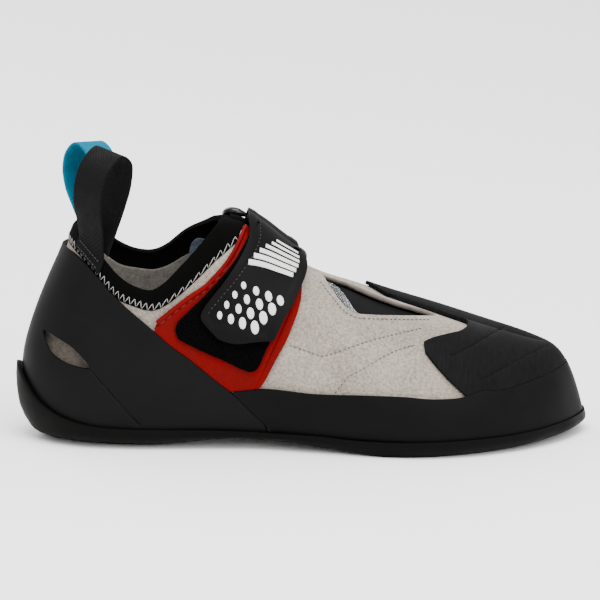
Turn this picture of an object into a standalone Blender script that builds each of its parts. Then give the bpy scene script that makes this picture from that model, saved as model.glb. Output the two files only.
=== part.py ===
# A climbing shoe for the right foot, EU size 42, standing on its sole with the strap closed.
# Sizes below are in millimetres and the finished meshes are in metres.
# +X runs to the toe, -Y to the outer side of the foot and +Z up. The floor is z = 0.
# Every piece is laid on one surface, the last, by two numbers and an offset:
# lap goes once round the foot (0 heel, 0.25 outer side, 0.5 toe, 0.75 inner side),
# rise goes up from the sole's edge (0) to the crest of the instep (1) and down the other side (2),
# and the offset is measured outwards along the surface's own normal.

import bmesh
import bpy
from bisect import bisect_right
from collections import namedtuple
from math import acos, ceil, cos, floor, pi, sin
from mathutils import Vector

MM = 0.001
WELD = 0.00002
SEARCH_STEPS = 36
NORMAL_STEP = 0.002
RISE_PROBE = 0.01

# Middle of the finished shoe's box, which the frame moves to the origin
MIDDLE_X = 130.1
MIDDLE_Y = -0.8

# Driving sizes of the last
SECTION_LENGTH = 260.0
CREST_START = 27.5
CREST_END = 236.0
TOE_REACH = 21.0
TOE_LEAN = 8.0
TOE_ROUND = 3.5
TUCK_RISE = 0.3

# Walls and gaps
UPPER_WALL = 2.0
RUBBER_GAP = 0.45
RUBBER_WALL = 1.9
PATCH_GAP = 0.6
PATCH_WALL = 1.6
EDGE_GAP = 0.4
RAND_EDGE_GAP = 1.0
SOLE_GAP = 3.0
FLOOR_GAP = 0.4
UPPER_LIFT = 0.5
RAND_LIFT = 1.6
CREST_EASE = 4.0
CREST_EASE_POWER = 4
TRIM_WALL = 2.6
TRIM_PROUD = 0.5
TONGUE_DEPTH = -3.1
TONGUE_WALL = 1.8
INSOLE_WALL = 2.0
INSOLE_INSET = -2.9
PANEL_GAP = 0.95
PANEL_WALL = 0.9
PILE_GAP = 2.35
PILE_WALL = 1.0
STRAP_WALL = 1.6
TAB_WALL = 1.2
RING_BAR = 1.1
LOOP_WALL = 1.2
LOOP_WIDTH = 20.0

# Facets round the whole foot, and rows of facets in each piece
LAPS = 80
LAP_EASE = 0.2
UPPER_ROWS = 8
TRIM_ROWS = 2
HEEL_ROWS = 6
HEEL_ROW_CROWD = 1.3
RAND_ROWS = 3
PATCH_ROWS = 8
PANEL_ROWS = 7
PILE_ROWS = 6
TONGUE_COLUMNS = 11
TONGUE_ROWS = 5
STRAP_STEPS = 14
STRAP_FOLD_STEPS = 8
STRAP_ROWS = 5
RING_BAR_STEPS = 6
RING_TURN_STEPS = 5
RING_ROUNDING = 2
TAB_TOP_STEPS = 2
TAB_FOLD_STEPS = 7
TAB_LOW_STEPS = 5
TAB_ROWS = 5
LOOP_SEAT_STEPS = 3
LOOP_STEPS = 19
LOOP_ROWS = 3

# Outline of the upper at its widest, seen from above
Outline = namedtuple("Outline", "along outer inner")
OUTLINE = (
    Outline(along=0, outer=0, inner=0),
    Outline(along=6, outer=-15, inner=15),
    Outline(along=20, outer=-25, inner=25),
    Outline(along=45, outer=-30, inner=29),
    Outline(along=75, outer=-31.5, inner=29),
    Outline(along=105, outer=-35, inner=29.5),
    Outline(along=135, outer=-41, inner=33),
    Outline(along=160, outer=-46.5, inner=39),
    Outline(along=180, outer=-48, inner=43),
    Outline(along=200, outer=-45.5, inner=45),
    Outline(along=220, outer=-38, inner=44),
    Outline(along=238, outer=-26, inner=38.5),
    Outline(along=250, outer=-13, inner=30.5),
    Outline(along=257, outer=-1, inner=22),
    Outline(along=260, outer=10, inner=10),
)

# Height of the sole's edge, squareness of the section, and how far it tucks in below
Section = namedtuple("Section", "along bed_outer bed_inner full_outer full_inner tuck_outer tuck_inner")
SECTIONS = (
    Section(0, 9.5, 9.5, 2.6, 2.6, 0.10, 0.10),
    Section(45, 8.0, 8.5, 2.6, 2.6, 0.10, 0.10),
    Section(75, 8.0, 11.0, 2.4, 2.4, 0.14, 0.18),
    Section(105, 8.0, 12.0, 2.1, 2.2, 0.18, 0.25),
    Section(135, 7.6, 10.0, 2.0, 2.2, 0.12, 0.18),
    Section(180, 6.8, 7.0, 2.0, 2.4, 0.06, 0.06),
    Section(220, 6.8, 6.8, 2.3, 2.6, 0.06, 0.06),
    Section(260, 7.0, 7.0, 2.65, 2.65, 0.06, 0.06),
)

# Height and sideways place of the crest, and the half width of its flat or open top
Crest = namedtuple("Crest", "along height side open_part")
CREST = (
    Crest(along=28, height=102, side=0, open_part=0.79),
    Crest(along=60, height=102, side=0, open_part=0.81),
    Crest(along=72, height=102, side=0.3, open_part=0.68),
    Crest(along=80, height=102, side=0.7, open_part=0.44),
    Crest(along=86, height=102, side=1, open_part=0.2),
    Crest(along=91, height=101.8, side=1.3, open_part=0),
    Crest(along=102, height=99.3, side=2, open_part=0),
    Crest(along=108, height=96, side=2.5, open_part=0),
    Crest(along=120, height=87.5, side=4, open_part=0),
    Crest(along=130, height=80.8, side=5, open_part=0),
    Crest(along=140, height=75.6, side=6, open_part=0),
    Crest(along=157, height=69.3, side=7.2, open_part=0),
    Crest(along=166, height=65.6, side=8, open_part=0),
    Crest(along=189, height=57.1, side=9, open_part=0),
    Crest(along=211, height=48.7, side=10, open_part=0),
    Crest(along=224, height=44.2, side=10.5, open_part=0),
    Crest(along=236, height=39.8, side=11, open_part=0),
)

# Curve of the heel's back, seen from the side
HeelBack = namedtuple("HeelBack", "height back")
HEEL_BACK = (
    HeelBack(height=8, back=11.5),
    HeelBack(height=15, back=7.2),
    HeelBack(height=22, back=5.5),
    HeelBack(height=30, back=4.7),
    HeelBack(height=42, back=5.8),
    HeelBack(height=50, back=7.9),
    HeelBack(height=60, back=11.2),
    HeelBack(height=74, back=16.8),
    HeelBack(height=87, back=22.5),
    HeelBack(height=100, back=27.5),
)

# Collar, seen from the side: lower and upper edge of the trim, and its upper edge on the inner side
Collar = namedtuple("Collar", "along low high inner_high")
COLLAR = (
    Collar(along=22, low=94, high=103, inner_high=103),
    Collar(along=31, low=88, high=96, inner_high=96),
    Collar(along=39, low=79.6, high=88.5, inner_high=90),
    Collar(along=46, low=72, high=81, inner_high=84.5),
    Collar(along=55, low=67.8, high=75.2, inner_high=80.5),
    Collar(along=64, low=66, high=74, inner_high=80.5),
    Collar(along=69, low=68.3, high=77, inner_high=83),
    Collar(along=78, low=75, high=86, inner_high=91),
    Collar(along=89, low=84.6, high=97, inner_high=98),
    Collar(along=96, low=90, high=103, inner_high=104),
    Collar(along=107, low=99, high=112, inner_high=112),
)
TRIM_TIP_LAP = 17 / LAPS
UPPER_CLOSES = 110.0

# Throat slit in the upper, seen from above
Throat = namedtuple("Throat", "along near far")
THROAT = (
    Throat(along=112, near=-5.5, far=-2.5),
    Throat(along=139, near=-6, far=-3),
    Throat(along=147, near=-18, far=-6),
    Throat(along=155, near=-26, far=-6.5),
    Throat(along=160, near=-24, far=-7.5),
    Throat(along=168, near=-21.5, far=-10),
    Throat(along=176, near=-19.5, far=-12.5),
    Throat(along=188, near=-13.2, far=-12),
)
THROAT_FLOOR = 36.0
THROAT_ROOF = 125.0
TONGUE_START = 108.0
TONGUE_END = 192.0
TONGUE_LAP = 6.0

# Upper edge of the heel rubber and of the forefoot rubber, seen from the side
Edge = namedtuple("Edge", "along height")
HEEL_EDGE = (
    Edge(along=22, height=89.4),
    Edge(along=27, height=88.6),
    Edge(along=38.5, height=80),
    Edge(along=47.5, height=70),
    Edge(along=61, height=58),
    Edge(along=71, height=49),
    Edge(along=80.5, height=42),
    Edge(along=93, height=32),
    Edge(along=98.5, height=28),
    Edge(along=109, height=18),
    Edge(along=118, height=9.6),
)
HEEL_RUBBER_FRONT = 114.0
HEEL_RUBBER_INNER_FRONT = 107.5
RAND_EDGE = (
    Edge(along=98.5, height=28),
    Edge(along=112, height=29.7),
    Edge(along=137, height=28.4),
    Edge(along=157, height=28.7),
    Edge(along=176, height=28.1),
    Edge(along=191, height=26.7),
    Edge(along=205, height=27.1),
    Edge(along=212, height=28.6),
    Edge(along=219, height=27.9),
    Edge(along=234, height=29.3),
    Edge(along=252, height=31.5),
)
RAND_BACK = 101.5
TEARDROP = (
    Edge(along=13.2, height=53.2),
    Edge(along=20.7, height=50.3),
    Edge(along=27.5, height=46.4),
    Edge(along=34.3, height=38.3),
    Edge(along=26.7, height=38.8),
    Edge(along=21.3, height=40.7),
    Edge(along=16.8, height=43.6),
    Edge(along=14, height=48.5),
)
TEARDROP_REACH = 60.0

# Toe rubber: rear and top edges on the outer side from the side, inner edge from above
PATCH_REAR = (
    Edge(along=183.5, height=49),
    Edge(along=189, height=42.5),
    Edge(along=197, height=34.2),
    Edge(along=205, height=27.1),
)
PATCH_TOP = (
    Edge(along=183.5, height=48),
    Edge(along=188.5, height=49.4),
    Edge(along=197, height=50.2),
    Edge(along=202.6, height=50.2),
    Edge(along=209, height=51),
)
PATCH_INNER_REAR = (
    Edge(along=154, height=72),
    Edge(along=170, height=48),
    Edge(along=185, height=27.2),
)
Ridge = namedtuple("Ridge", "along side")
PATCH_RIDGE = (
    Ridge(along=154, side=6),
    Ridge(along=162, side=2),
    Ridge(along=172, side=0.5),
    Ridge(along=190, side=4),
    Ridge(along=209, side=6),
    Ridge(along=236, side=10.9),
)
PATCH_BACK = 186.0
PATCH_INNER_BACK = 156.0
PATCH_TOP_RISE = 0.9

# Red closure panel and its loop pile, seen from the side
PANEL_LOW = (
    Edge(along=61, height=58.4),
    Edge(along=71, height=49.4),
    Edge(along=80.5, height=42.4),
    Edge(along=93, height=32.4),
    Edge(along=98, height=30),
    Edge(along=111.5, height=30.5),
    Edge(along=118.6, height=41.8),
    Edge(along=125.6, height=55.1),
    Edge(along=130, height=67.6),
    Edge(along=131.5, height=75.1),
)
PANEL_HIGH = (
    Edge(along=61, height=57.4),
    Edge(along=78, height=70.5),
    Edge(along=91.3, height=79.6),
    Edge(along=99.7, height=89.7),
    Edge(along=103.8, height=97.2),
    Edge(along=108, height=106),
)
PANEL_BACK = 65.0
PANEL_FRONT = 130.0
PANEL_TOP_RISE = 0.9
PILE_LOW = (
    Edge(along=73, height=57.5),
    Edge(along=75, height=52.7),
    Edge(along=85.7, height=46.7),
    Edge(along=97, height=42.2),
    Edge(along=104, height=38.6),
    Edge(along=108.8, height=37.9),
    Edge(along=111, height=39.4),
    Edge(along=115, height=47.8),
    Edge(along=122, height=61.9),
    Edge(along=127.6, height=71.1),
)
PILE_HIGH = (
    Edge(along=73, height=58.8),
    Edge(along=81.5, height=66.9),
    Edge(along=91.3, height=75.8),
    Edge(along=101, height=87),
    Edge(along=108, height=99),
)
PILE_BACK = 74.0
PILE_FRONT = 125.5
PILE_TOP_RISE = 0.86

# Closure strap: its ends along the foot and the height of its middle off the last, by rise
Strap = namedtuple("Strap", "rise back front lift")
STRAP = (
    Strap(rise=0.33, back=93, front=113, lift=4.7),
    Strap(rise=0.37, back=88, front=118, lift=4.7),
    Strap(rise=0.41, back=84.5, front=120, lift=4.7),
    Strap(rise=0.47, back=89, front=122.5, lift=4.7),
    Strap(rise=0.53, back=94.3, front=125, lift=4.7),
    Strap(rise=0.63, back=100.5, front=128, lift=4.7),
    Strap(rise=0.79, back=105, front=130.5, lift=4.9),
    Strap(rise=0.93, back=104, front=128.5, lift=5.4),
    Strap(rise=1.06, back=103.5, front=124.5, lift=5.95),
    Strap(rise=1.3, back=103.5, front=124.5, lift=5.95),
)
STRAP_TAIL_RISE = 1.03
STRAP_FOLD_START = 1.08

# Plastic ring on the crest, and the webbing tab that holds it on the inner side
RING_BACK = 95.5
RING_FRONT = 130.0
STRAP_BAR_RISE = 1.11
STRAP_BAR_LIFT = 3.65
TAB_BAR_RISE = 1.26
TAB_BAR_LIFT = 3.3
FOLD_GAP = 0.4
RING_CORNER = 4.0
TAB_BACK = 103.5
TAB_FRONT = 124.5
TAB_FOLD_START = 1.28
TAB_TOP_END = 1.37
TAB_LOW_END = 1.56

# Outsole: rim, ground line and wall, by distance along the foot
Sole = namedtuple("Sole", "along rim_outer rim_inner ground_outer ground_inner contact wall lip")
SOLE = (
    Sole(0, 34.6, 34.6, 0.0, 0.0, 0.50, 5.2, 4.5),
    Sole(3, 28.0, 28.0, 0.0, 0.0, 0.50, 5.1, 4.4),
    Sole(8, 20.4, 20.4, 0.0, 0.0, 0.51, 4.9, 4.2),
    Sole(13, 16.7, 16.7, 0.0, 0.0, 0.54, 4.7, 4.1),
    Sole(26, 11.9, 12.2, 0.0, 0.0, 0.60, 4.6, 4.0),
    Sole(44, 10.4, 11.0, 0.0, 0.0, 0.63, 4.5, 4.0),
    Sole(54, 10.2, 11.8, 0.0, 0.4, 0.65, 4.5, 3.9),
    Sole(64, 10.2, 12.6, 1.6, 2.4, 0.68, 4.4, 3.9),
    Sole(84, 10.3, 13.8, 3.8, 5.6, 0.78, 4.3, 3.8),
    Sole(101, 10.1, 14.2, 4.7, 7.4, 0.86, 4.2, 3.8),
    Sole(118, 10.1, 13.8, 4.0, 7.0, 0.88, 4.2, 3.8),
    Sole(135, 9.9, 12.0, 3.0, 4.4, 0.90, 4.2, 3.8),
    Sole(152, 9.0, 9.8, 1.4, 1.8, 0.91, 4.2, 3.8),
    Sole(166, 8.7, 9.2, 0.0, 0.0, 0.92, 4.2, 3.8),
    Sole(186, 8.6, 9.0, 0.0, 0.0, 0.90, 4.2, 3.8),
    Sole(204, 8.7, 8.8, 0.0, 0.0, 0.86, 4.1, 3.7),
    Sole(222, 8.7, 8.7, 0.0, 0.0, 0.82, 4.0, 3.6),
    Sole(236, 8.9, 8.9, 0.4, 0.4, 0.80, 3.8, 3.5),
    Sole(248, 9.1, 9.1, 1.5, 1.5, 0.79, 3.6, 3.4),
    Sole(260, 9.2, 9.2, 2.9, 2.9, 0.79, 3.5, 3.4),
)
SPINE_BACK = 24.0
SPINE_FRONT = 236.0
BEVEL_OUT = 0.6
BEVEL_UP = 0.32

# Pull loops: profile out from the heel and up from the collar, and the place of each loop
Fold = namedtuple("Fold", "out up")
LOOP_PROFILE = (
    Fold(out=0, up=1),
    Fold(out=1.6, up=10),
    Fold(out=4.2, up=20),
    Fold(out=4.6, up=30),
    Fold(out=1.4, up=38.5),
    Fold(out=-5.5, up=43.5),
    Fold(out=-11, up=40),
    Fold(out=-12.4, up=31),
    Fold(out=-10.2, up=20),
    Fold(out=-6.2, up=10),
    Fold(out=-2.4, up=2.5),
)
LOOP_SEAT_SPAN = 0.046
LOOP_SEAT_OFFSET = 1.0
LOOP_SEAT_LOW = 1.0
LOOP_SLOPE = 0.12
LOOP_BLEND = 0.25
Loop = namedtuple("Loop", "name hand lap size lean")
BLACK_LOOP = Loop(name="pull_loop_black", hand=-1, lap=0.071, size=1.0, lean=4.5)
BLUE_LOOP = Loop(name="pull_loop_blue", hand=1, lap=0.062, size=0.9, lean=-1.5)

# Colours as linear red, green and blue
RUBBER_BLACK = (0.020, 0.020, 0.020)
SOLE_BLACK = (0.012, 0.011, 0.009)
SUEDE_GREY = (0.45, 0.40, 0.36)
TRIM_BLACK = (0.008, 0.008, 0.007)
FABRIC_BLACK = (0.025, 0.025, 0.024)
BOARD_GREY = (0.12, 0.10, 0.09)
PANEL_RED = (0.50, 0.010, 0.010)
PILE_BLACK = (0.004, 0.004, 0.004)
STRAP_BLACK = (0.012, 0.012, 0.012)
WEBBING_BLACK = (0.018, 0.018, 0.018)
WEBBING_BLUE = (0.004, 0.26, 0.38)
PLASTIC_BLACK = (0.006, 0.006, 0.006)

# Roughness of each kind of surface
MATT = 0.95
FABRIC_SHEEN = 0.8
RUBBER_SHEEN = 0.6
PLASTIC_SHEEN = 0.2

for leftover in list(bpy.data.objects):
    bpy.data.objects.remove(leftover, do_unlink=True)

shoe = bpy.data.collections.new("climbing_shoe")
bpy.context.scene.collection.children.link(shoe)
cutters = bpy.data.collections.new("cutters")
cutters.hide_render = True
bpy.context.scene.collection.children.link(cutters)
frame = bpy.data.objects.new("shoe_frame", None)
frame.location = (-MIDDLE_X * MM, -MIDDLE_Y * MM, 0)
shoe.objects.link(frame)


# Smooth curves through the rows of a table

def smooth(keys, values):
    def chord(i):
        return (values[i + 1] - values[i]) / (keys[i + 1] - keys[i])

    last = len(keys) - 1
    slopes = [chord(0)]
    for i in range(1, last):
        before = keys[i] - keys[i - 1]
        after = keys[i + 1] - keys[i]
        slopes.append((after * chord(i - 1) + before * chord(i)) / (before + after))
    slopes.append(chord(last - 1))

    def at(key):
        if key <= keys[0]:
            return values[0]
        if key >= keys[-1]:
            return values[-1]
        i = bisect_right(keys, key) - 1
        span = keys[i + 1] - keys[i]
        t = (key - keys[i]) / span
        rest = 1 - t
        ends = values[i] * rest * rest * (1 + 2 * t) + values[i + 1] * t * t * (1 + 2 * rest)
        return ends + span * t * rest * (slopes[i] * rest - slopes[i + 1] * t)

    return at


def column(rows, key, value):
    return smooth([getattr(row, key) for row in rows], [getattr(row, value) for row in rows])


def side_of(along):
    return acos(1 - 2 * along / SECTION_LENGTH) / pi


# A closed curve round the foot from an outer and an inner column, with one turn to spare at each end

def round_foot(rows, outer, inner):
    turn = [(side_of(row.along) / 2, getattr(row, outer)) for row in rows]
    turn += [(1 - side_of(row.along) / 2, getattr(row, inner)) for row in reversed(rows[1:-1])]
    knots = [(lap + whole, value) for whole in (-1, 0, 1) for lap, value in turn]
    return smooth([lap for lap, value in knots], [value for lap, value in knots])


widest = round_foot(OUTLINE, "outer", "inner")
bed_height = round_foot(SECTIONS, "bed_outer", "bed_inner")
fullness = round_foot(SECTIONS, "full_outer", "full_inner")
tuck_in = round_foot(SECTIONS, "tuck_outer", "tuck_inner")
crest_height = column(CREST, "along", "height")
crest_side = column(CREST, "along", "side")
crest_open = column(CREST, "along", "open_part")
heel_back = column(HEEL_BACK, "height", "back")


# The last: a point by lap and rise, its outward normal, and a point off its surface

def fraction_along(lap):
    lap = lap % 1
    return (1 - cos(2 * pi * min(lap, 1 - lap))) / 2


def last_point(lap, rise):
    if rise > 1:
        return last_point(1 - lap, 2 - rise)
    lap = lap % 1
    part = fraction_along(lap)
    crest = CREST_START + (CREST_END - CREST_START) * part
    power = 2 / fullness(lap)
    angle = max(rise, 0) ** (1 / power) * pi / 2
    up = max(sin(angle), 0) ** power
    across = max(cos(angle), 0) ** power
    open_part = max(crest_open(crest), 0)
    tuck = 1 - tuck_in(lap) * max(1 - rise / TUCK_RISE, 0) ** 2
    side = crest_side(crest)
    height = bed_height(lap) + (crest_height(crest) - bed_height(lap)) * up
    toe = CREST_END + (TOE_REACH - TOE_LEAN * up) * max(1 - up ** TOE_ROUND, 0) ** (1 / TOE_ROUND)
    back = heel_back(height)
    y = side + (widest(lap) - side) * (open_part + (1 - open_part) * across) * tuck
    return Vector((back + (toe - back) * part, y, height))


def last_normal(lap, rise):
    low = max(rise - NORMAL_STEP, 0)
    around = last_point(lap + NORMAL_STEP, rise) - last_point(lap - NORMAL_STEP, rise)
    upward = last_point(lap, rise + NORMAL_STEP) - last_point(lap, low)
    return around.cross(upward).normalized()


def off_last(lap, rise, offset):
    return last_point(lap, rise) + last_normal(lap, rise) * offset


# A point level with the last's lower edge, set out sideways only

def beside_edge(lap, offset):
    normal = last_normal(lap, 0)
    normal.z = 0
    return last_point(lap, 0) + normal.normalized() * offset


# Searches on the last: the rise that meets an edge, and the lap that meets a distance along

def bisect(low, high, past):
    for _ in range(SEARCH_STEPS):
        middle = (low + high) / 2
        if past(middle):
            high = middle
        else:
            low = middle
    return (low + high) / 2


def rise_to(lap, edge):
    def above(rise):
        point = last_point(lap, rise)
        return point.z > edge(point.x)

    return bisect(0, 1, above)


def lap_at(along, rise):
    return bisect(0, 0.5, lambda lap: last_point(lap, rise).x > along)


def lap_at_spot(along, height):
    def past(lap):
        return last_point(lap, rise_to(lap, lambda x: height)).x > along

    return bisect(0, 0.5, past)


def rise_at_side(lap, y):
    return bisect(0, 2, lambda rise: last_point(lap, rise).y > y)


# Rise that lies a given distance above another on the same lap

def step_up(lap, rise, distance):
    base = min(rise, 1 - RISE_PROBE)
    rate = (last_point(lap, base + RISE_PROBE) - last_point(lap, base)).length / RISE_PROBE
    return rise + distance / rate


# Objects, materials and modifiers

def material(name, colour, roughness):
    made = bpy.data.materials.new(name)
    made.use_nodes = True
    shader = made.node_tree.nodes["Principled BSDF"]
    shader.inputs["Base Color"].default_value = (*colour, 1)
    shader.inputs["Roughness"].default_value = roughness
    shader.inputs["Metallic"].default_value = 0
    return made


def add_object(name, mesh, finish):
    for polygon in mesh.polygons:
        polygon.use_smooth = True
    mesh.materials.append(finish)
    made = bpy.data.objects.new(name, mesh)
    made.parent = frame
    shoe.objects.link(made)
    return made


# A grid of columns and rows, each vertex placed by a function of its two fractions

def grid_mesh(name, columns, rows, place):
    work = bmesh.new()
    bmesh.ops.create_grid(work, x_segments=columns, y_segments=rows, size=1)
    for vert in work.verts:
        across = round((vert.co.x + 1) / 2 * columns) / columns
        up = round((vert.co.y + 1) / 2 * rows) / rows
        vert.co = place(across, up) * MM
    bmesh.ops.remove_doubles(work, verts=work.verts, dist=WELD)
    bmesh.ops.triangulate(work, faces=work.faces, quad_method="BEAUTY")
    mesh = bpy.data.meshes.new(name)
    work.to_mesh(mesh)
    work.free()
    return mesh


def thicken(target, wall, offset):
    shell = target.modifiers.new("wall", "SOLIDIFY")
    shell.thickness = wall * MM
    shell.offset = offset
    shell.use_even_offset = offset == 0
    shell.use_quality_normals = True


# A skin on the last between two edges, over a range of laps that may cross the heel or the toe

def skin(name, start, end, rows, low, high, offset, wall, finish, crowd=1.0, finer=1):
    turn = LAPS * finer
    inside = range(floor(start * turn + LAP_EASE) + 1, ceil(end * turn - LAP_EASE))
    laps = [start] + [step / turn for step in inside] + [end]
    columns = len(laps) - 1

    def place(across, up):
        lap = laps[round(across * columns)]
        bottom = low(lap)
        return off_last(lap, bottom + (high(lap) - bottom) * up ** crowd, offset)

    mesh = grid_mesh(name, columns, rows, place)
    made = add_object(name, mesh, finish)
    thicken(made, wall, 1)
    return made


# An upright or level prism from an outline, kept as a cutter

def prism(name, corners, reach):
    work = bmesh.new()
    verts = [work.verts.new(corner * MM) for corner in corners]
    face = work.faces.new(verts)
    swept = bmesh.ops.extrude_face_region(work, geom=[face])
    moved = [item for item in swept["geom"] if isinstance(item, bmesh.types.BMVert)]
    bmesh.ops.translate(work, verts=moved, vec=reach * MM)
    bmesh.ops.recalc_face_normals(work, faces=work.faces)
    mesh = bpy.data.meshes.new(name)
    work.to_mesh(mesh)
    work.free()
    made = bpy.data.objects.new(name, mesh)
    made.display_type = "WIRE"
    made.hide_render = True
    made.parent = frame
    cutters.objects.link(made)
    return made


def cut(target, cutter):
    step = target.modifiers.new(cutter.name, "BOOLEAN")
    step.operation = "DIFFERENCE"
    step.solver = "EXACT"
    step.object = cutter


# Edges as functions of distance along the foot

collar_low = column(COLLAR, "along", "low")
collar_high = column(COLLAR, "along", "high")
collar_inner_high = column(COLLAR, "along", "inner_high")
heel_edge = column(HEEL_EDGE, "along", "height")
rand_edge = column(RAND_EDGE, "along", "height")


def collar_inner_low(along):
    return collar_low(along) + collar_inner_high(along) - collar_high(along)


def is_inner(lap):
    return lap % 1 > 0.5


def trim_low(lap):
    return rise_to(lap, collar_inner_low if is_inner(lap) else collar_low)


def trim_high(lap):
    return rise_to(lap, collar_inner_high if is_inner(lap) else collar_high)


def above(lap, rise):
    return step_up(lap, rise, EDGE_GAP)


# Upper: one hollow suede shell, open at the collar, at the throat and underneath

def make_upper():
    def place(across, up):
        bottom = step_up(across, 0, UPPER_LIFT)
        top = trim_low(across)
        if last_point(across, 1).x < UPPER_CLOSES:
            top = step_up(across, top, -EDGE_GAP * (1 + CREST_EASE * top ** CREST_EASE_POWER))
        return off_last(across, bottom + (top - bottom) * up, 0)

    mesh = grid_mesh("upper", LAPS, UPPER_ROWS, place)
    upper = add_object("upper", mesh, material("suede", SUEDE_GREY, MATT))
    thicken(upper, UPPER_WALL, -1)
    corners = [Vector((row.along, row.near, THROAT_FLOOR)) for row in THROAT]
    corners += [Vector((row.along, row.far, THROAT_FLOOR)) for row in reversed(THROAT)]
    cut(upper, prism("throat_cutter", corners, Vector((0, 0, THROAT_ROOF - THROAT_FLOOR))))


# Collar trim: a soft band that carries the wall on above the suede

def make_collar_trim():
    skin("collar_trim", -TRIM_TIP_LAP, TRIM_TIP_LAP, TRIM_ROWS, trim_low, trim_high,
         TRIM_PROUD - TRIM_WALL, TRIM_WALL, material("stretch_trim", TRIM_BLACK, MATT))


# Tongue: the dark fabric that closes the throat from inside

def make_tongue():
    near = column(THROAT, "along", "near")
    far = column(THROAT, "along", "far")
    start = lap_at(TONGUE_START, 1)
    end = lap_at(TONGUE_END, 1)

    def place(across, up):
        lap = start + (end - start) * across
        along = last_point(lap, 1).x
        low = rise_at_side(lap, near(along) - TONGUE_LAP)
        high = rise_at_side(lap, far(along) + TONGUE_LAP)
        return off_last(lap, low + (high - low) * up, TONGUE_DEPTH)

    mesh = grid_mesh("tongue", TONGUE_COLUMNS, TONGUE_ROWS, place)
    tongue = add_object("tongue", mesh, material("throat_fabric", FABRIC_BLACK, FABRIC_SHEEN))
    thicken(tongue, TONGUE_WALL, -1)


# Heel rubber, forefoot rubber and toe rubber

def rubber_low(lap):
    return step_up(lap, 0, RAND_LIFT)


def make_heel_rand():
    def high(lap):
        return min(rise_to(lap, heel_edge), step_up(lap, trim_low(lap), -EDGE_GAP))

    front = lap_at_spot(HEEL_RUBBER_FRONT, heel_edge(HEEL_RUBBER_FRONT))
    inner_front = lap_at_spot(HEEL_RUBBER_INNER_FRONT, heel_edge(HEEL_RUBBER_INNER_FRONT))
    heel = skin("heel_rand", -inner_front, front, HEEL_ROWS, rubber_low, high,
                RUBBER_GAP, RUBBER_WALL, material("heel_rubber", RUBBER_BLACK, RUBBER_SHEEN), HEEL_ROW_CROWD)
    corners = [Vector((row.along, -TEARDROP_REACH, row.height)) for row in TEARDROP]
    cut(heel, prism("teardrop_cutter", corners, Vector((0, 2 * TEARDROP_REACH, 0))))


def make_rand():
    def low(lap):
        if last_point(lap, 0).x > HEEL_EDGE[-1].along:
            return rubber_low(lap)
        return step_up(lap, rise_to(lap, heel_edge), RAND_EDGE_GAP)

    back = lap_at_spot(RAND_BACK, rand_edge(RAND_BACK))
    skin("rand", back, 1 - back, RAND_ROWS, low, lambda lap: rise_to(lap, rand_edge),
         RUBBER_GAP, RUBBER_WALL, material("rand_rubber", RUBBER_BLACK, RUBBER_SHEEN))


def make_toe_patch():
    rear = column(PATCH_REAR, "along", "height")
    top = column(PATCH_TOP, "along", "height")
    inner_rear = column(PATCH_INNER_REAR, "along", "height")
    ridge = column(PATCH_RIDGE, "along", "side")

    def ridge_rise(lap):
        return rise_at_side(lap, ridge(last_point(lap, 1).x))

    def low(lap):
        over_rand = above(lap, rise_to(lap, rand_edge))
        if lap == 0.5:
            return over_rand
        return max(over_rand, rise_to(lap, inner_rear if is_inner(lap) else rear))

    def high(lap):
        if abs(lap - 0.5) < 0.5 / LAPS:
            return 1
        if is_inner(lap):
            return 2 - ridge_rise(1 - lap)
        top_rise = rise_to(lap, top) if last_point(lap, PATCH_TOP_RISE).x < PATCH_TOP[-1].along else 1
        return min(top_rise, ridge_rise(lap)) if top_rise < 1 else ridge_rise(lap)

    back = lap_at_spot(PATCH_BACK, top(PATCH_BACK))
    inner_back = 1 - lap_at(PATCH_INNER_BACK, 1)
    skin("toe_patch", back, inner_back, PATCH_ROWS, low, high,
         PATCH_GAP, PATCH_WALL, material("toe_rubber", RUBBER_BLACK, RUBBER_SHEEN))


# Red closure panel and the loop pile on it

def make_panel():
    low_edge = column(PANEL_LOW, "along", "height")
    high_edge = column(PANEL_HIGH, "along", "height")

    def low(lap):
        over_edges = max(rise_to(lap, edge) for edge in (low_edge, heel_edge, rand_edge))
        return step_up(lap, over_edges, RAND_EDGE_GAP)

    def high(lap):
        return min(rise_to(lap, high_edge), PANEL_TOP_RISE)

    back = lap_at_spot(PANEL_BACK, high_edge(PANEL_BACK))
    front = lap_at_spot(PANEL_FRONT, low_edge(PANEL_FRONT))
    skin("closure_panel", back, front, PANEL_ROWS, low, high,
         PANEL_GAP, PANEL_WALL, material("red_fabric", PANEL_RED, FABRIC_SHEEN), finer=2)


def make_pile():
    low_edge = column(PILE_LOW, "along", "height")
    high_edge = column(PILE_HIGH, "along", "height")

    def low(lap):
        return rise_to(lap, low_edge)

    def high(lap):
        return min(rise_to(lap, high_edge), PILE_TOP_RISE)

    back = lap_at_spot(PILE_BACK, high_edge(PILE_BACK))
    front = lap_at_spot(PILE_FRONT, low_edge(PILE_FRONT))
    skin("loop_pile", back, front, PILE_ROWS, low, high,
         PILE_GAP, PILE_WALL, material("loop_pile", PILE_BLACK, MATT), finer=2)


# Points over the instep by distance along and rise, and a point on a fold round a ring bar

def instep(along, rise, lift):
    return off_last(lap_at(along, rise), rise, lift)


def on_fold(along, rise, lift, radius, angle):
    lap = lap_at(along, rise)
    outward = last_normal(lap, rise)
    inward_side = (last_point(lap, rise + RISE_PROBE) - last_point(lap, rise)).normalized()
    centre = off_last(lap, rise, lift)
    return centre + (outward * cos(angle) + inward_side * sin(angle)) * radius


# Strap: from its tip up over the crest, round the ring's bar and a short way back under itself

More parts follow.
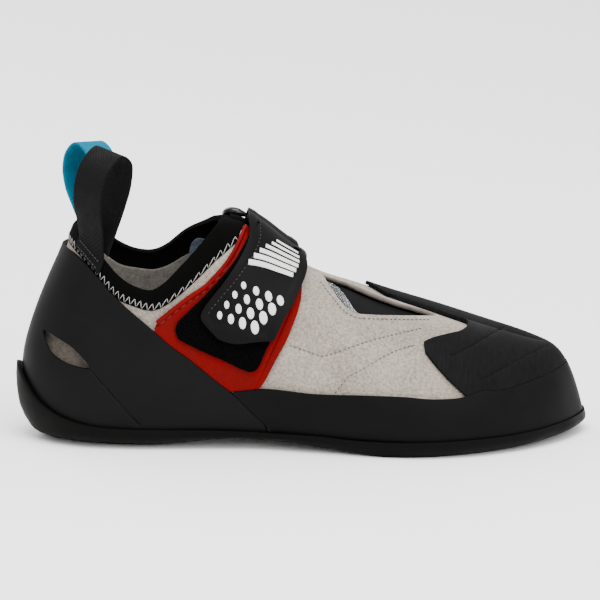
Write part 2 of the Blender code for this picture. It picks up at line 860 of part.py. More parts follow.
def make_strap():
    back = column(STRAP, "rise", "back")
    front = column(STRAP, "rise", "front")
    lift = column(STRAP, "rise", "lift")
    radius = RING_BAR + FOLD_GAP + STRAP_WALL / 2
    tip = STRAP[0].rise
    over = STRAP_FOLD_START
    steps = STRAP_STEPS + STRAP_FOLD_STEPS + 1

    def place(across, up):
        step = round(across * steps)
        if step <= STRAP_STEPS:
            rise = tip + (over - tip) * step / STRAP_STEPS
            along = back(rise) + (front(rise) - back(rise)) * up
            return instep(along, rise, lift(rise))
        along = back(over) + (front(over) - back(over)) * up
        if step < steps:
            angle = pi * (step - STRAP_STEPS - 1) / (STRAP_FOLD_STEPS - 1)
            return on_fold(along, STRAP_BAR_RISE, STRAP_BAR_LIFT, radius, angle)
        return instep(along, STRAP_TAIL_RISE, STRAP_BAR_LIFT - radius)

    mesh = grid_mesh("strap", steps, STRAP_ROWS, place)
    strap = add_object("strap", mesh, material("strap_rubber", STRAP_BLACK, RUBBER_SHEEN))
    thicken(strap, STRAP_WALL, 0)


# Ring: a round bar bent into an oblong, one bar inside the strap's fold and one inside the tab's

def make_ring():
    def at(along, share):
        rise = STRAP_BAR_RISE + (TAB_BAR_RISE - STRAP_BAR_RISE) * share
        lift = STRAP_BAR_LIFT + (TAB_BAR_LIFT - STRAP_BAR_LIFT) * share
        return instep(along, rise, lift)

    route = []
    for end, way in ((RING_FRONT - RING_CORNER, 1), (RING_BACK + RING_CORNER, -1)):
        start = RING_BACK + RING_FRONT - end
        for step in range(RING_BAR_STEPS):
            route.append(at(start + (end - start) * step / RING_BAR_STEPS, (1 - way) / 2))
        for step in range(RING_TURN_STEPS):
            angle = pi * step / RING_TURN_STEPS
            share = (1 - way * cos(angle)) / 2
            route.append(at(end + way * RING_CORNER * sin(angle), share))
    curve = bpy.data.curves.new("strap_ring", "CURVE")
    curve.dimensions = "3D"
    curve.bevel_depth = RING_BAR * MM
    curve.bevel_resolution = RING_ROUNDING
    line = curve.splines.new("POLY")
    line.points.add(len(route) - 1)
    for point, spot in zip(line.points, route):
        point.co = (*(spot * MM), 1)
    line.use_cyclic_u = True
    curve.materials.append(material("ring_plastic", PLASTIC_BLACK, PLASTIC_SHEEN))
    ring = bpy.data.objects.new("strap_ring", curve)
    ring.parent = frame
    shoe.objects.link(ring)


# Tab: webbing that folds round the ring's other bar and lies down the inner side of the instep

def make_ring_tab():
    radius = RING_BAR + FOLD_GAP + TAB_WALL / 2
    seat = RUBBER_GAP + TAB_WALL / 2
    steps = TAB_TOP_STEPS + TAB_FOLD_STEPS + TAB_LOW_STEPS

    def place(across, up):
        step = round(across * steps)
        along = TAB_BACK + (TAB_FRONT - TAB_BACK) * up
        if step < TAB_TOP_STEPS:
            share = step / TAB_TOP_STEPS
            rise = TAB_TOP_END + (TAB_FOLD_START - TAB_TOP_END) * share
            lap_over = seat + TAB_WALL + FOLD_GAP
            return instep(along, rise, lap_over + (TAB_BAR_LIFT + radius - lap_over) * share)
        if step <= TAB_TOP_STEPS + TAB_FOLD_STEPS:
            angle = pi * (step - TAB_TOP_STEPS) / TAB_FOLD_STEPS
            return on_fold(along, TAB_BAR_RISE, TAB_BAR_LIFT, radius, -angle)
        share = (step - TAB_TOP_STEPS - TAB_FOLD_STEPS) / TAB_LOW_STEPS
        rise = TAB_BAR_RISE + (TAB_LOW_END - TAB_BAR_RISE) * share
        return instep(along, rise, seat + (TAB_BAR_LIFT - radius - seat) * (1 - share))

    mesh = grid_mesh("ring_tab", steps, TAB_ROWS, place)
    tab = add_object("ring_tab", mesh, material("tab_webbing", WEBBING_BLACK, FABRIC_SHEEN))
    thicken(tab, TAB_WALL, 0)


# Pull loop: a strip seated outside the trim that rises, folds over and comes back to the collar

def make_loop(loop, finish):
    travel = [0]
    for before, after in zip(LOOP_PROFILE, LOOP_PROFILE[1:]):
        travel.append(travel[-1] + Vector((after.out - before.out, after.up - before.up)).length)
    out_at = smooth(travel, [row.out * loop.size for row in LOOP_PROFILE])
    up_at = smooth(travel, [row.up * loop.size for row in LOOP_PROFILE])
    steps = LOOP_SEAT_STEPS + LOOP_STEPS

    def seat(width_part, share):
        lap = loop.lap + (width_part - 0.5) * LOOP_SEAT_SPAN
        lap = lap if loop.hand < 0 else 1 - lap
        low = step_up(lap, trim_low(lap), LOOP_SEAT_LOW)
        return off_last(lap, low + (trim_high(lap) - low) * share, LOOP_SEAT_OFFSET + LOOP_WALL / 2)

    foot = seat(0.5, 1)
    widthwise = seat(1, 1) - seat(0, 1)
    widthwise.z = 0
    widthwise.normalize()
    outward = Vector((0, 0, 1)).cross(widthwise) * loop.hand
    tallest = max(row.up for row in LOOP_PROFILE) * loop.size
    widthwise.z = -LOOP_SLOPE

    def free(width_part, share):
        spread = widthwise * (width_part - 0.5) * LOOP_WIDTH
        along = travel[-1] * share
        up = up_at(along)
        lean = loop.lean * (up / tallest) ** 2
        spot = foot + spread + outward * out_at(along) + Vector((lean, 0, up))
        settle = seat(width_part, 1) - foot - spread
        ease = max(1 - share / LOOP_BLEND, 0) ** 2 + max(1 - (1 - share) / LOOP_BLEND, 0) ** 2
        return spot + settle * ease

    def place(across, up):
        step = round(across * steps)
        if step < LOOP_SEAT_STEPS:
            return seat(up, step / LOOP_SEAT_STEPS)
        return free(up, (step - LOOP_SEAT_STEPS) / LOOP_STEPS)

    mesh = grid_mesh(loop.name, steps, LOOP_ROWS, place)
    thicken(add_object(loop.name, mesh, finish), LOOP_WALL, 0)


# A plate with rings of vertices from the middle of its underside out and up to the middle of its top

def plate(name, columns, rings, finish):
    def place(across, up):
        return rings[round(up * (len(rings) - 1))](across)

    mesh = grid_mesh(name, columns, len(rings) - 1, place)
    return add_object(name, mesh, finish)


def spine_point(lap, height):
    part = fraction_along(lap)
    along = SPINE_BACK + (SPINE_FRONT - SPINE_BACK) * part
    middle = (last_point(lap, 0).y + last_point(1 - lap, 0).y) / 2
    return Vector((along, middle, height))


# Outsole: ground, bevel, wall, rim and the floor inside it

def make_outsole():
    rim = round_foot(SOLE, "rim_outer", "rim_inner")
    ground = round_foot(SOLE, "ground_outer", "ground_inner")
    contact = round_foot(SOLE, "contact", "contact")
    wall = round_foot(SOLE, "wall", "wall")
    lip = round_foot(SOLE, "lip", "lip")

    def ground_at(lap):
        return max(ground(lap), 0)

    def middle_ground(lap):
        return (ground_at(lap) + ground_at(1 - lap)) / 2

    def at_height(lap, height, offset):
        rise = rise_to(lap, lambda along: height)
        return off_last(lap, rise, offset)

    def ground_ring(share):
        def ring(lap):
            edge = beside_edge(lap, wall(lap))
            middle = spine_point(lap, 0)
            spot = middle + (edge - middle) * contact(lap) * share
            height = middle_ground(lap) + (ground_at(lap) - middle_ground(lap)) * share * share
            return Vector((spot.x, spot.y, height))

        return ring

    def bevel_ring(lap):
        edge = beside_edge(lap, wall(lap))
        inner = ground_ring(1)(lap)
        out = inner + (edge - inner) * BEVEL_OUT
        return Vector((out.x, out.y, ground_at(lap) + (bed_height(lap) - ground_at(lap)) * BEVEL_UP))

    def wall_ring(share):
        def ring(lap):
            height = bed_height(lap) + (rim(lap) - bed_height(lap)) * share
            return at_height(lap, height, wall(lap) + (lip(lap) - wall(lap)) * share)

        return ring

    def inner_wall(share):
        def ring(lap):
            height = bed_height(lap) + (rim(lap) - bed_height(lap)) * share
            return at_height(lap, height, SOLE_GAP)

        return ring

    def floor_ring(share):
        def ring(lap):
            spot = beside_edge(lap, SOLE_GAP)
            middle = spine_point(lap, 0)
            spot = middle + (spot - middle) * share
            level = (bed_height(lap) + bed_height(1 - lap)) / 2
            height = level + (bed_height(lap) - level) * share * share
            return Vector((spot.x, spot.y, height - FLOOR_GAP))

        return ring

    rings = [ground_ring(0), ground_ring(0.5), ground_ring(1), bevel_ring,
             wall_ring(0), wall_ring(0.5), wall_ring(1),
             inner_wall(1), inner_wall(0.5), inner_wall(0.2),
             floor_ring(1), floor_ring(0.5), floor_ring(0)]
    plate("outsole", LAPS, rings, material("sole_rubber", SOLE_BLACK, RUBBER_SHEEN))


# Insole: a thin board on the sole's floor, inside the upper

def make_insole():
    def ring(share, lift):
        def place(lap):
            edge = beside_edge(lap, SOLE_GAP)
            spot = beside_edge(lap, INSOLE_INSET)
            middle = spine_point(lap, 0)
            reach = (spot.y - middle.y) / (edge.y - middle.y) if edge.y != middle.y else 1
            spot = middle + (spot - middle) * share
            level = (bed_height(lap) + bed_height(1 - lap)) / 2
            height = level + (bed_height(lap) - level) * (share * reach) ** 2
            return Vector((spot.x, spot.y, height + lift))

        return place

    rings = [ring(0, 0), ring(0.5, 0), ring(1, 0),
             ring(1, INSOLE_WALL), ring(0.5, INSOLE_WALL), ring(0, INSOLE_WALL)]
    plate("insole", LAPS // 2, rings, material("insole_board", BOARD_GREY, MATT))


make_outsole()
make_upper()
make_insole()
make_tongue()
make_collar_trim()
make_heel_rand()
make_rand()
make_toe_patch()
make_panel()
make_pile()
make_strap()
make_ring()
make_ring_tab()
make_loop(BLACK_LOOP, material("black_webbing", WEBBING_BLACK, FABRIC_SHEEN))
make_loop(BLUE_LOOP, material("blue_webbing", WEBBING_BLUE, FABRIC_SHEEN))
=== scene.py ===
from bisect import bisect_right
from functools import lru_cache
from math import acos, ceil, cos, exp, floor, hypot, pi, radians, sin

import bmesh
import bpy
from mathutils import Matrix, Vector, noise


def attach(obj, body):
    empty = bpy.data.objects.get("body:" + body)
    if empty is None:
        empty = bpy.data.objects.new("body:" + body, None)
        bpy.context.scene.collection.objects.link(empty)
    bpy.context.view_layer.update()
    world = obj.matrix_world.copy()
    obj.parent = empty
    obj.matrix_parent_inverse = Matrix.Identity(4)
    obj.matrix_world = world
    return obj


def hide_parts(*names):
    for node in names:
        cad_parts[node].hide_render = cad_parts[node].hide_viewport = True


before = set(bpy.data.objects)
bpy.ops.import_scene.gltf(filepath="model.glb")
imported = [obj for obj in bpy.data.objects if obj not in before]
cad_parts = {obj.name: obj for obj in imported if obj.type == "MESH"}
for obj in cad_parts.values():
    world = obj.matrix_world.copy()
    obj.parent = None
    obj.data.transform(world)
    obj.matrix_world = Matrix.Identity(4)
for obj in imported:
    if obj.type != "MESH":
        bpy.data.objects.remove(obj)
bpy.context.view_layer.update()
mm = 0.001
weld = 0.00002

lastForm = {
    "middle": Vector((130.1, -0.8, 0)),  # the last's point over the frame's origin
    "sectionLength": 260.0,
    "crestStart": 27.5,
    "crestEnd": 236.0,
    "toeReach": 22.6,
    "toeLean": 8.0,
    "toeRound": 3.5,
    "tuckRise": 0.3,
    "tilt": radians(13),  # the side view looks down by this much
    "outerLaps": (0.02, 0.48),  # the outer side, short of heel and toe
    "probe": 0.002,  # step for a normal
    "outline": [  # along, outer, inner
        (0, 0, 0), (6, -15, 15), (20, -25, 25), (45, -30, 29), (75, -31.5, 29),
        (105, -35, 29.5), (135, -41, 33), (160, -46.5, 39), (180, -48, 43), (200, -45.5, 45),
        (220, -38, 44), (238, -26, 38.5), (250, -13, 30.5), (257, -1, 22), (260, 10, 10)],
    "sections": [  # along, bed outer, bed inner, fullness outer, inner, tuck outer, inner
        (0, 9.5, 9.5, 2.6, 2.6, 0.10, 0.10), (45, 8.0, 8.5, 2.6, 2.6, 0.10, 0.10),
        (75, 8.0, 11.0, 2.4, 2.4, 0.14, 0.18), (105, 8.0, 12.0, 2.1, 2.2, 0.18, 0.25),
        (135, 7.6, 10.0, 2.0, 2.2, 0.12, 0.18), (180, 6.8, 7.0, 2.0, 2.4, 0.06, 0.06),
        (220, 6.8, 6.8, 2.3, 2.6, 0.06, 0.06), (260, 7.0, 7.0, 2.65, 2.65, 0.06, 0.06)],
    "crest": [  # along, height, side, open part
        (28, 102, 0, 0.79), (60, 102, 0, 0.81), (72, 102, 0.3, 0.68), (80, 102, 0.7, 0.44),
        (86, 102, 1, 0.2), (91, 101.8, 1.3, 0), (102, 99.3, 2, 0), (108, 96, 2.5, 0),
        (120, 87.5, 4, 0), (130, 80.8, 5, 0), (140, 75.6, 6, 0), (157, 69.3, 7.2, 0),
        (166, 65.6, 8, 0), (189, 57.1, 9, 0), (211, 48.7, 10, 0), (224, 44.2, 10.5, 0),
        (236, 39.8, 11, 0)],
    "heelBack": [  # height, back
        (8, 11.5), (15, 7.2), (22, 5.5), (30, 4.7), (42, 5.8), (50, 7.9), (60, 11.2),
        (74, 16.8), (87, 22.5), (100, 27.5)],
}

edges = {  # each an edge seen from the side: along, height
    "collarLow": [
        (22, 94), (31, 88), (39, 79.6), (46, 72), (55, 67.8), (64, 66), (69, 68.3),
        (78, 75), (89, 84.6), (96, 90), (107, 99)],
    "collarHigh": [
        (22, 103), (31, 96), (39, 88.5), (46, 81), (55, 75.2), (64, 74), (69, 77),
        (78, 86), (89, 97), (96, 103), (107, 112)],
    "collarInnerHigh": [
        (22, 103), (31, 96), (39, 90), (46, 84.5), (55, 80.5), (64, 80.5), (69, 83),
        (78, 91), (89, 98), (96, 104), (107, 112)],
    "heel": [
        (22, 89.4), (27, 88.6), (38.5, 80), (47.5, 70), (61, 58), (71, 49), (80.5, 42),
        (93, 32), (98.5, 28), (109, 18), (118, 9.6)],
    "rand": [
        (98.5, 28), (112, 29.7), (137, 28.4), (157, 28.7), (176, 28.1), (191, 26.7),
        (205, 27.1), (212, 28.6), (219, 27.9), (234, 29.3), (252, 31.5)],
}


# smooth curves through a table's rows

def smoothCurve(keys, values):
    slopes = [(b - a) / (q - p) for p, q, a, b in zip(keys, keys[1:], values, values[1:])]
    knots = [slopes[0]]
    for i in range(1, len(slopes)):
        before = keys[i] - keys[i - 1]
        after = keys[i + 1] - keys[i]
        knots.append((after * slopes[i - 1] + before * slopes[i]) / (before + after))
    knots.append(slopes[-1])

    def at(key):
        if key <= keys[0]:
            return values[0]
        if key >= keys[-1]:
            return values[-1]
        i = bisect_right(keys, key) - 1
        span = keys[i + 1] - keys[i]
        t = (key - keys[i]) / span
        rest = 1 - t
        ends = values[i] * rest * rest * (1 + 2 * t) + values[i + 1] * t * t * (1 + 2 * rest)
        return ends + span * t * rest * (knots[i] * rest - knots[i + 1] * t)

    return at


def between(start, end, share):
    return start + (end - start) * share


def tableCurve(rows, value=1):
    return smoothCurve([row[0] for row in rows], [row[value] for row in rows])


def roundFoot(rows, outer, inner):  # a closed curve round the foot, with a turn to spare
    def sideOf(along):
        return acos(1 - 2 * along / lastForm["sectionLength"]) / pi / 2

    turn = [(sideOf(row[0]), row[outer]) for row in rows]
    turn += [(1 - sideOf(row[0]), row[inner]) for row in reversed(rows[1:-1])]
    knots = [(lap + whole, value) for whole in (-1, 0, 1) for lap, value in turn]
    return smoothCurve([lap for lap, value in knots], [value for lap, value in knots])


widest = roundFoot(lastForm["outline"], 1, 2)
bedHeight = roundFoot(lastForm["sections"], 1, 2)
fullness = roundFoot(lastForm["sections"], 3, 4)
tuckIn = roundFoot(lastForm["sections"], 5, 6)
crestHeight = tableCurve(lastForm["crest"], 1)
crestSide = tableCurve(lastForm["crest"], 2)
crestOpen = tableCurve(lastForm["crest"], 3)
heelBack = tableCurve(lastForm["heelBack"])
edgeAt = {name: tableCurve(rows) for name, rows in edges.items()}


# the last itself

def fractionAlong(lap):
    lap = lap % 1
    return (1 - cos(2 * pi * min(lap, 1 - lap))) / 2


@lru_cache(None)
def lapShape(lap):
    part = fractionAlong(lap)
    crest = between(lastForm["crestStart"], lastForm["crestEnd"], part)
    return (part, crestHeight(crest), crestSide(crest), max(crestOpen(crest), 0),
            2 / fullness(lap), bedHeight(lap), widest(lap), tuckIn(lap))


def lastPoint(lap, rise):
    if rise > 1:
        return lastPoint(1 - lap, 2 - rise)
    part, top, side, openPart, power, bed, reach, tuck = lapShape(lap % 1)
    angle = max(rise, 0) ** (1 / power) * pi / 2
    up = max(sin(angle), 0) ** power
    across = max(cos(angle), 0) ** power
    height = bed + (top - bed) * up
    bow = max(1 - up ** lastForm["toeRound"], 0) ** (1 / lastForm["toeRound"])
    toe = lastForm["crestEnd"] + (lastForm["toeReach"] - lastForm["toeLean"] * up) * bow
    back = heelBack(height)
    pull = 1 - tuck * max(1 - rise / lastForm["tuckRise"], 0) ** 2
    y = side + (reach - side) * (openPart + (1 - openPart) * across) * pull
    return Vector((back + (toe - back) * part, y, height))


def lastNormal(lap, rise):
    step = lastForm["probe"]
    around = lastPoint(lap + step, rise) - lastPoint(lap - step, rise)
    upward = lastPoint(lap, rise + step) - lastPoint(lap, max(rise - step, 0))
    return around.cross(upward).normalized()


def offLast(lap, rise, offset):
    return lastPoint(lap, rise) + lastNormal(lap, rise) * offset


def besideEdge(lap, offset):
    normal = lastNormal(lap, 0)
    normal.z = 0
    return lastPoint(lap, 0) + normal.normalized() * offset


def seen(point):  # a point as the side view shows it: along, and up the picture
    return point.x, point.z * cos(lastForm["tilt"]) + point.y * sin(lastForm["tilt"])


# searches on the last

def halve(low, high, past, steps=19):
    for _ in range(steps):
        middle = (low + high) / 2
        if past(middle):
            high = middle
        else:
            low = middle
    return (low + high) / 2


@lru_cache(None)
def riseTo(lap, edge):
    def past(rise):
        point = lastPoint(lap, rise)
        return point.z > edge(point.x)

    return halve(0, 1, past)


def lapAt(along, rise):
    return halve(0, 0.5, lambda lap: lastPoint(lap, rise).x > along)


def riseAt(lap, height):
    return halve(0, 1, lambda rise: lastPoint(lap, rise).z > height)


def lapAtSpot(along, height):
    return halve(0, 0.5, lambda lap: lastPoint(lap, riseAt(lap, height)).x > along)


def lapOn(along, edge):  # where an edge passes a place along the foot
    return lapAtSpot(along, edge(along))


@lru_cache(None)
def riseAtSide(lap, y):
    return halve(0, 2, lambda rise: lastPoint(lap, rise).y > y)


def riseSeen(lap, edge):  # rise where a column crosses an edge of the side view
    def past(rise):
        along, up = seen(lastPoint(lap, rise))
        return up > edge(along)

    return halve(0, 1, past)


def spotSeen(along, up):  # lap and rise of a spot on the outer side, by the side view
    def level(x):
        return up

    lap = halve(*lastForm["outerLaps"], lambda lap: lastPoint(lap, riseSeen(lap, level)).x > along)
    return lap, riseSeen(lap, level)


def stepUp(lap, rise, distance):
    probe = 0.01
    base = min(rise, 1 - probe)
    rate = (lastPoint(lap, base + probe) - lastPoint(lap, base)).length / probe
    return rise + distance / rate


def isInner(lap):
    return lap % 1 > 0.5


def collarInnerLow(along):
    return edgeAt["collarLow"](along) + edgeAt["collarInnerHigh"](along) - edgeAt["collarHigh"](along)


@lru_cache(None)
def trimLow(lap):
    return riseTo(lap, collarInnerLow if isInner(lap) else edgeAt["collarLow"])


@lru_cache(None)
def trimHigh(lap):
    return riseTo(lap, edgeAt["collarInnerHigh" if isInner(lap) else "collarHigh"])


# soft grooves and ridges along lines that the side view shows

def lineGap(spot, line):
    best = 1e9
    for (ax, ay), (bx, by) in zip(line, line[1:]):
        span = (bx - ax) ** 2 + (by - ay) ** 2
        t = min(max(((spot[0] - ax) * (bx - ax) + (spot[1] - ay) * (by - ay)) / span, 0), 1)
        best = min(best, hypot(spot[0] - ax - (bx - ax) * t, spot[1] - ay - (by - ay) * t))
    return best


def relief(point, rise, lines):  # lines: (points, half width, height)
    if rise > 1:
        return 0
    spot = seen(point)
    return sum(height * exp(-(lineGap(spot, line) / width) ** 2) for line, width, height in lines)


# meshes

edgeForm = {"sharpAngle": radians(50), "segments": 3}
threadForm = {"around": 6, "along": 5}  # facets of one stitch


def inFrame(point):
    return (point - lastForm["middle"]) * mm


def newObject(name, data):
    made = bpy.data.objects.new(name, data)
    bpy.context.scene.collection.objects.link(made)
    return made


def meshFrom(work, name):
    mesh = bpy.data.meshes.new(name)
    work.to_mesh(mesh)
    work.free()
    return mesh


def evaluated(thing):  # the mesh that an object shows
    deps = bpy.context.evaluated_depsgraph_get()
    return bpy.data.meshes.new_from_object(thing.evaluated_get(deps))


def settle(piece):  # modifiers become the mesh
    made = evaluated(piece)
    piece.modifiers.clear()
    piece.data = made
    made.shade_smooth()


def addPiece(name, mesh, coats, node=None):  # coats: names of finishes
    for coat in coats:
        mesh.materials.append(finishes[coat])
    piece = newObject(name, mesh)
    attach(piece, "root")
    if node:
        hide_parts(node)
    return piece


def addGrid(work, columns, rows, place):  # a grid, laid by place(across, up), both from 0 to 1
    made = bmesh.ops.create_grid(work, x_segments=columns, y_segments=rows, size=1, calc_uvs=True)
    for vert in made["verts"]:
        across = round((vert.co.x + 1) / 2 * columns) / columns
        up = round((vert.co.y + 1) / 2 * rows) / rows
        vert.co = inFrame(place(across, up))
    bmesh.ops.remove_doubles(work, verts=made["verts"], dist=weld)


def gridMesh(name, columns, rows, place):
    work = bmesh.new()
    work.loops.layers.uv.new("UVMap")
    addGrid(work, columns, rows, place)
    return meshFrom(work, name)


def thicken(piece, wall, side, edgeRound):  # side: 1 outwards, 0 both ways, -1 inwards
    shell = piece.modifiers.new("wall", "SOLIDIFY")
    shell.thickness = wall * mm
    shell.offset = side
    shell.use_even_offset = side == 0
    shell.use_quality_normals = True
    coats = len(piece.data.materials)  # face, back and rim, as far as there are coats
    shell.material_offset = min(1, coats - 1)
    shell.material_offset_rim = min(2, coats - 1)
    if edgeRound:
        soften(piece, edgeRound)


def soften(piece, edgeRound):
    bevel = piece.modifiers.new("softEdge", "BEVEL")
    bevel.limit_method = "ANGLE"
    bevel.angle_limit = edgeForm["sharpAngle"]
    bevel.width = edgeRound * mm
    bevel.segments = edgeForm["segments"]


def skin(name, form, start, end, low, high, coat, node=None, lines=()):  # a sheet on the last
    pace = (end - start) / form["columns"]
    turn = 2 * round(0.5 / pace)  # even, so that a column stands at the toe
    ease = 0.3  # share of a column that stays free beside either end
    inside = range(floor(start * turn + ease) + 1, ceil(end * turn - ease))
    laps = [start] + [step / turn for step in inside] + [end]
    columns = len(laps) - 1
    crown = form.get("crown", 0)
    piping = form.get("piping", ())

    def place(across, up):
        lap = laps[round(across * columns)]
        rise = between(low(lap), high(lap), up)
        swell = crown * (1 - (2 * up - 1) ** 4)
        if lines:
            swell += relief(lastPoint(lap, rise), rise, lines)
        if piping:
            down = (lastPoint(lap, high(lap)) - lastPoint(lap, rise)).length
            swell += sum(height * exp(-((down - spot) / width) ** 2) for spot, width, height in piping)
        return offLast(lap, rise, form["gap"] + swell)

    piece = addPiece(name, gridMesh(name, columns, form["rows"], place), [coat], node)
    thicken(piece, form["wall"], 1, form["edgeRound"])
    return piece


def ringSolid(name, form, rings, coat, node):  # closed by rings round the foot
    def place(across, up):
        return rings[round(up * (len(rings) - 1))](across % 1)

    piece = addPiece(name, gridMesh(name, form["columns"], len(rings) - 1, place), [coat], node)
    soften(piece, form["edgeRound"])
    settle(piece)


def prism(name, corners, reach):
    work = bmesh.new()
    face = work.faces.new([work.verts.new(inFrame(corner)) for corner in corners])
    swept = bmesh.ops.extrude_face_region(work, geom=[face])
    moved = [item for item in swept["geom"] if isinstance(item, bmesh.types.BMVert)]
    bmesh.ops.translate(work, verts=moved, vec=reach * mm)
    bmesh.ops.recalc_face_normals(work, faces=work.faces)
    return newObject(name, meshFrom(work, name))


def cutOut(piece, cutter):  # cuts, settles and clears the cutter away
    for coat in piece.data.materials:
        cutter.data.materials.append(coat)
    step = piece.modifiers.new("cut", "BOOLEAN")
    step.operation = "DIFFERENCE"
    step.solver = "EXACT"
    step.object = cutter
    settle(piece)
    bpy.data.objects.remove(cutter, do_unlink=True)


def stitches(name, ends, radius, coat):  # a short thread between each pair of points
    work = bmesh.new()
    for start, end in ends:
        start = inFrame(start)
        end = inFrame(end)
        turn = (end - start).to_track_quat("X", "Z").to_matrix().to_4x4()
        size = Matrix.Diagonal((((end - start).length / 2 + radius * mm), radius * mm, radius * mm, 1))
        bmesh.ops.create_uvsphere(work, u_segments=threadForm["around"], v_segments=threadForm["along"],
                                  radius=1, matrix=Matrix.Translation((start + end) / 2) @ turn @ size)
    mesh = meshFrom(work, name)
    mesh.shade_smooth()
    addPiece(name, mesh, [coat])


def stitchLine(route, length, gap):  # stitches along spots on the outer side
    spots = [offLast(*spotSeen(*spot), 0) for spot in route]
    travel = [0]
    for a, b in zip(spots, spots[1:]):
        travel.append(travel[-1] + (b - a).length)

    def at(distance):
        i = min(bisect_right(travel, distance), len(spots) - 1)
        return spots[i - 1].lerp(spots[i], (distance - travel[i - 1]) / (travel[i] - travel[i - 1]))

    pace = length + gap
    return [(at(i * pace), at(i * pace + length)) for i in range(int(travel[-1] / pace))]


def fineRoute(route, pieces):  # more spots on a smooth curve through the route
    keys = list(range(len(route)))
    along = smoothCurve(keys, [spot[0] for spot in route])
    up = smoothCurve(keys, [spot[1] for spot in route])
    steps = pieces * (len(route) - 1)
    return [(along(i / pieces), up(i / pieces)) for i in range(steps + 1)]


# node groups that several finishes share

def newGroup(name, inputs, outputs):
    group = bpy.data.node_groups.new(name, "ShaderNodeTree")
    for label, kind, value in inputs:
        socket = group.interface.new_socket(label, in_out="INPUT", socket_type="NodeSocket" + kind)
        if value is not None:
            socket.default_value = value
    for label, kind in outputs:
        group.interface.new_socket(label, in_out="OUTPUT", socket_type="NodeSocket" + kind)
    return group, group.nodes.new("NodeGroupInput"), group.nodes.new("NodeGroupOutput")


def addNode(tree, kind, **values):
    node = tree.nodes.new("ShaderNode" + kind)
    for key, value in values.items():
        setattr(node, key, value)
    return node


def mathNode(tree, operation, first, second=None):
    node = addNode(tree, "Math", operation=operation)
    for socket, value in zip(node.inputs, (first, second)):
        if isinstance(value, (int, float)):
            socket.default_value = value
        elif value is not None:
            tree.links.new(value, socket)
    return node.outputs[0]


mottleForm = {"patchDetail": 3, "grainDetail": 2, "colourSpan": (0.32, 0.68), "roughSpan": (0.3, 0.7)}


def makeMottle():  # patchy colour with a fine grain on top
    group, source, target = newGroup("mottle", [
        ("Vector", "Vector", None), ("Dark", "Color", (0, 0, 0, 1)), ("Light", "Color", (1, 1, 1, 1)),
        ("Patches", "Float", 60), ("Grain", "Float", 1500), ("Grain Share", "Float", 0.5)],
        [("Color", "Color"), ("Patch", "Float"), ("Height", "Float")])
    patch = addNode(group, "TexNoise")
    patch.inputs["Detail"].default_value = mottleForm["patchDetail"]
    grain = addNode(group, "TexNoise")
    grain.inputs["Detail"].default_value = mottleForm["grainDetail"]
    blend = addNode(group, "Mix", data_type="FLOAT")
    spread = addNode(group, "MapRange")
    spread.inputs["From Min"].default_value = mottleForm["colourSpan"][0]
    spread.inputs["From Max"].default_value = mottleForm["colourSpan"][1]
    colour = addNode(group, "Mix", data_type="RGBA")
    link = group.links.new
    link(source.outputs["Vector"], patch.inputs["Vector"])
    link(source.outputs["Vector"], grain.inputs["Vector"])
    link(source.outputs["Patches"], patch.inputs["Scale"])
    link(source.outputs["Grain"], grain.inputs["Scale"])
    link(source.outputs["Grain Share"], blend.inputs[0])
    link(patch.outputs["Fac"], blend.inputs[2])
    link(grain.outputs["Fac"], blend.inputs[3])
    link(blend.outputs[0], spread.inputs["Value"])
    link(spread.outputs[0], colour.inputs[0])
    link(source.outputs["Dark"], colour.inputs[6])
    link(source.outputs["Light"], colour.inputs[7])
    link(colour.outputs[2], target.inputs["Color"])
    link(patch.outputs["Fac"], target.inputs["Patch"])
    link(grain.outputs["Fac"], target.inputs["Height"])
    return group


def makeWeave():  # threads over and under, by a map's two directions
    group, source, target = newGroup("weave", [
        ("Vector", "Vector", None), ("Across", "Float", 40), ("Along", "Float", 40)],
        [("Height", "Float")])
    parts = addNode(group, "SeparateXYZ")
    group.links.new(source.outputs["Vector"], parts.inputs[0])
    u = mathNode(group, "MULTIPLY", parts.outputs[0], source.outputs["Across"])
    v = mathNode(group, "MULTIPLY", parts.outputs[1], source.outputs["Along"])
    humpU = mathNode(group, "ABSOLUTE", mathNode(group, "SINE", mathNode(group, "MULTIPLY", u, pi)))
    humpV = mathNode(group, "ABSOLUTE", mathNode(group, "SINE", mathNode(group, "MULTIPLY", v, pi)))
    both = mathNode(group, "ADD", mathNode(group, "FLOOR", u), mathNode(group, "FLOOR", v))
    over = mathNode(group, "PINGPONG", both, 1)
    blend = addNode(group, "Mix", data_type="FLOAT")
    group.links.new(over, blend.inputs[0])
    group.links.new(humpU, blend.inputs[2])
    group.links.new(humpV, blend.inputs[3])
    group.links.new(blend.outputs[0], target.inputs["Height"])
    return group


mottle = makeMottle()
weave = makeWeave()


fuzzShare = 0.4  # how much of the grain shows in a cloth's relief


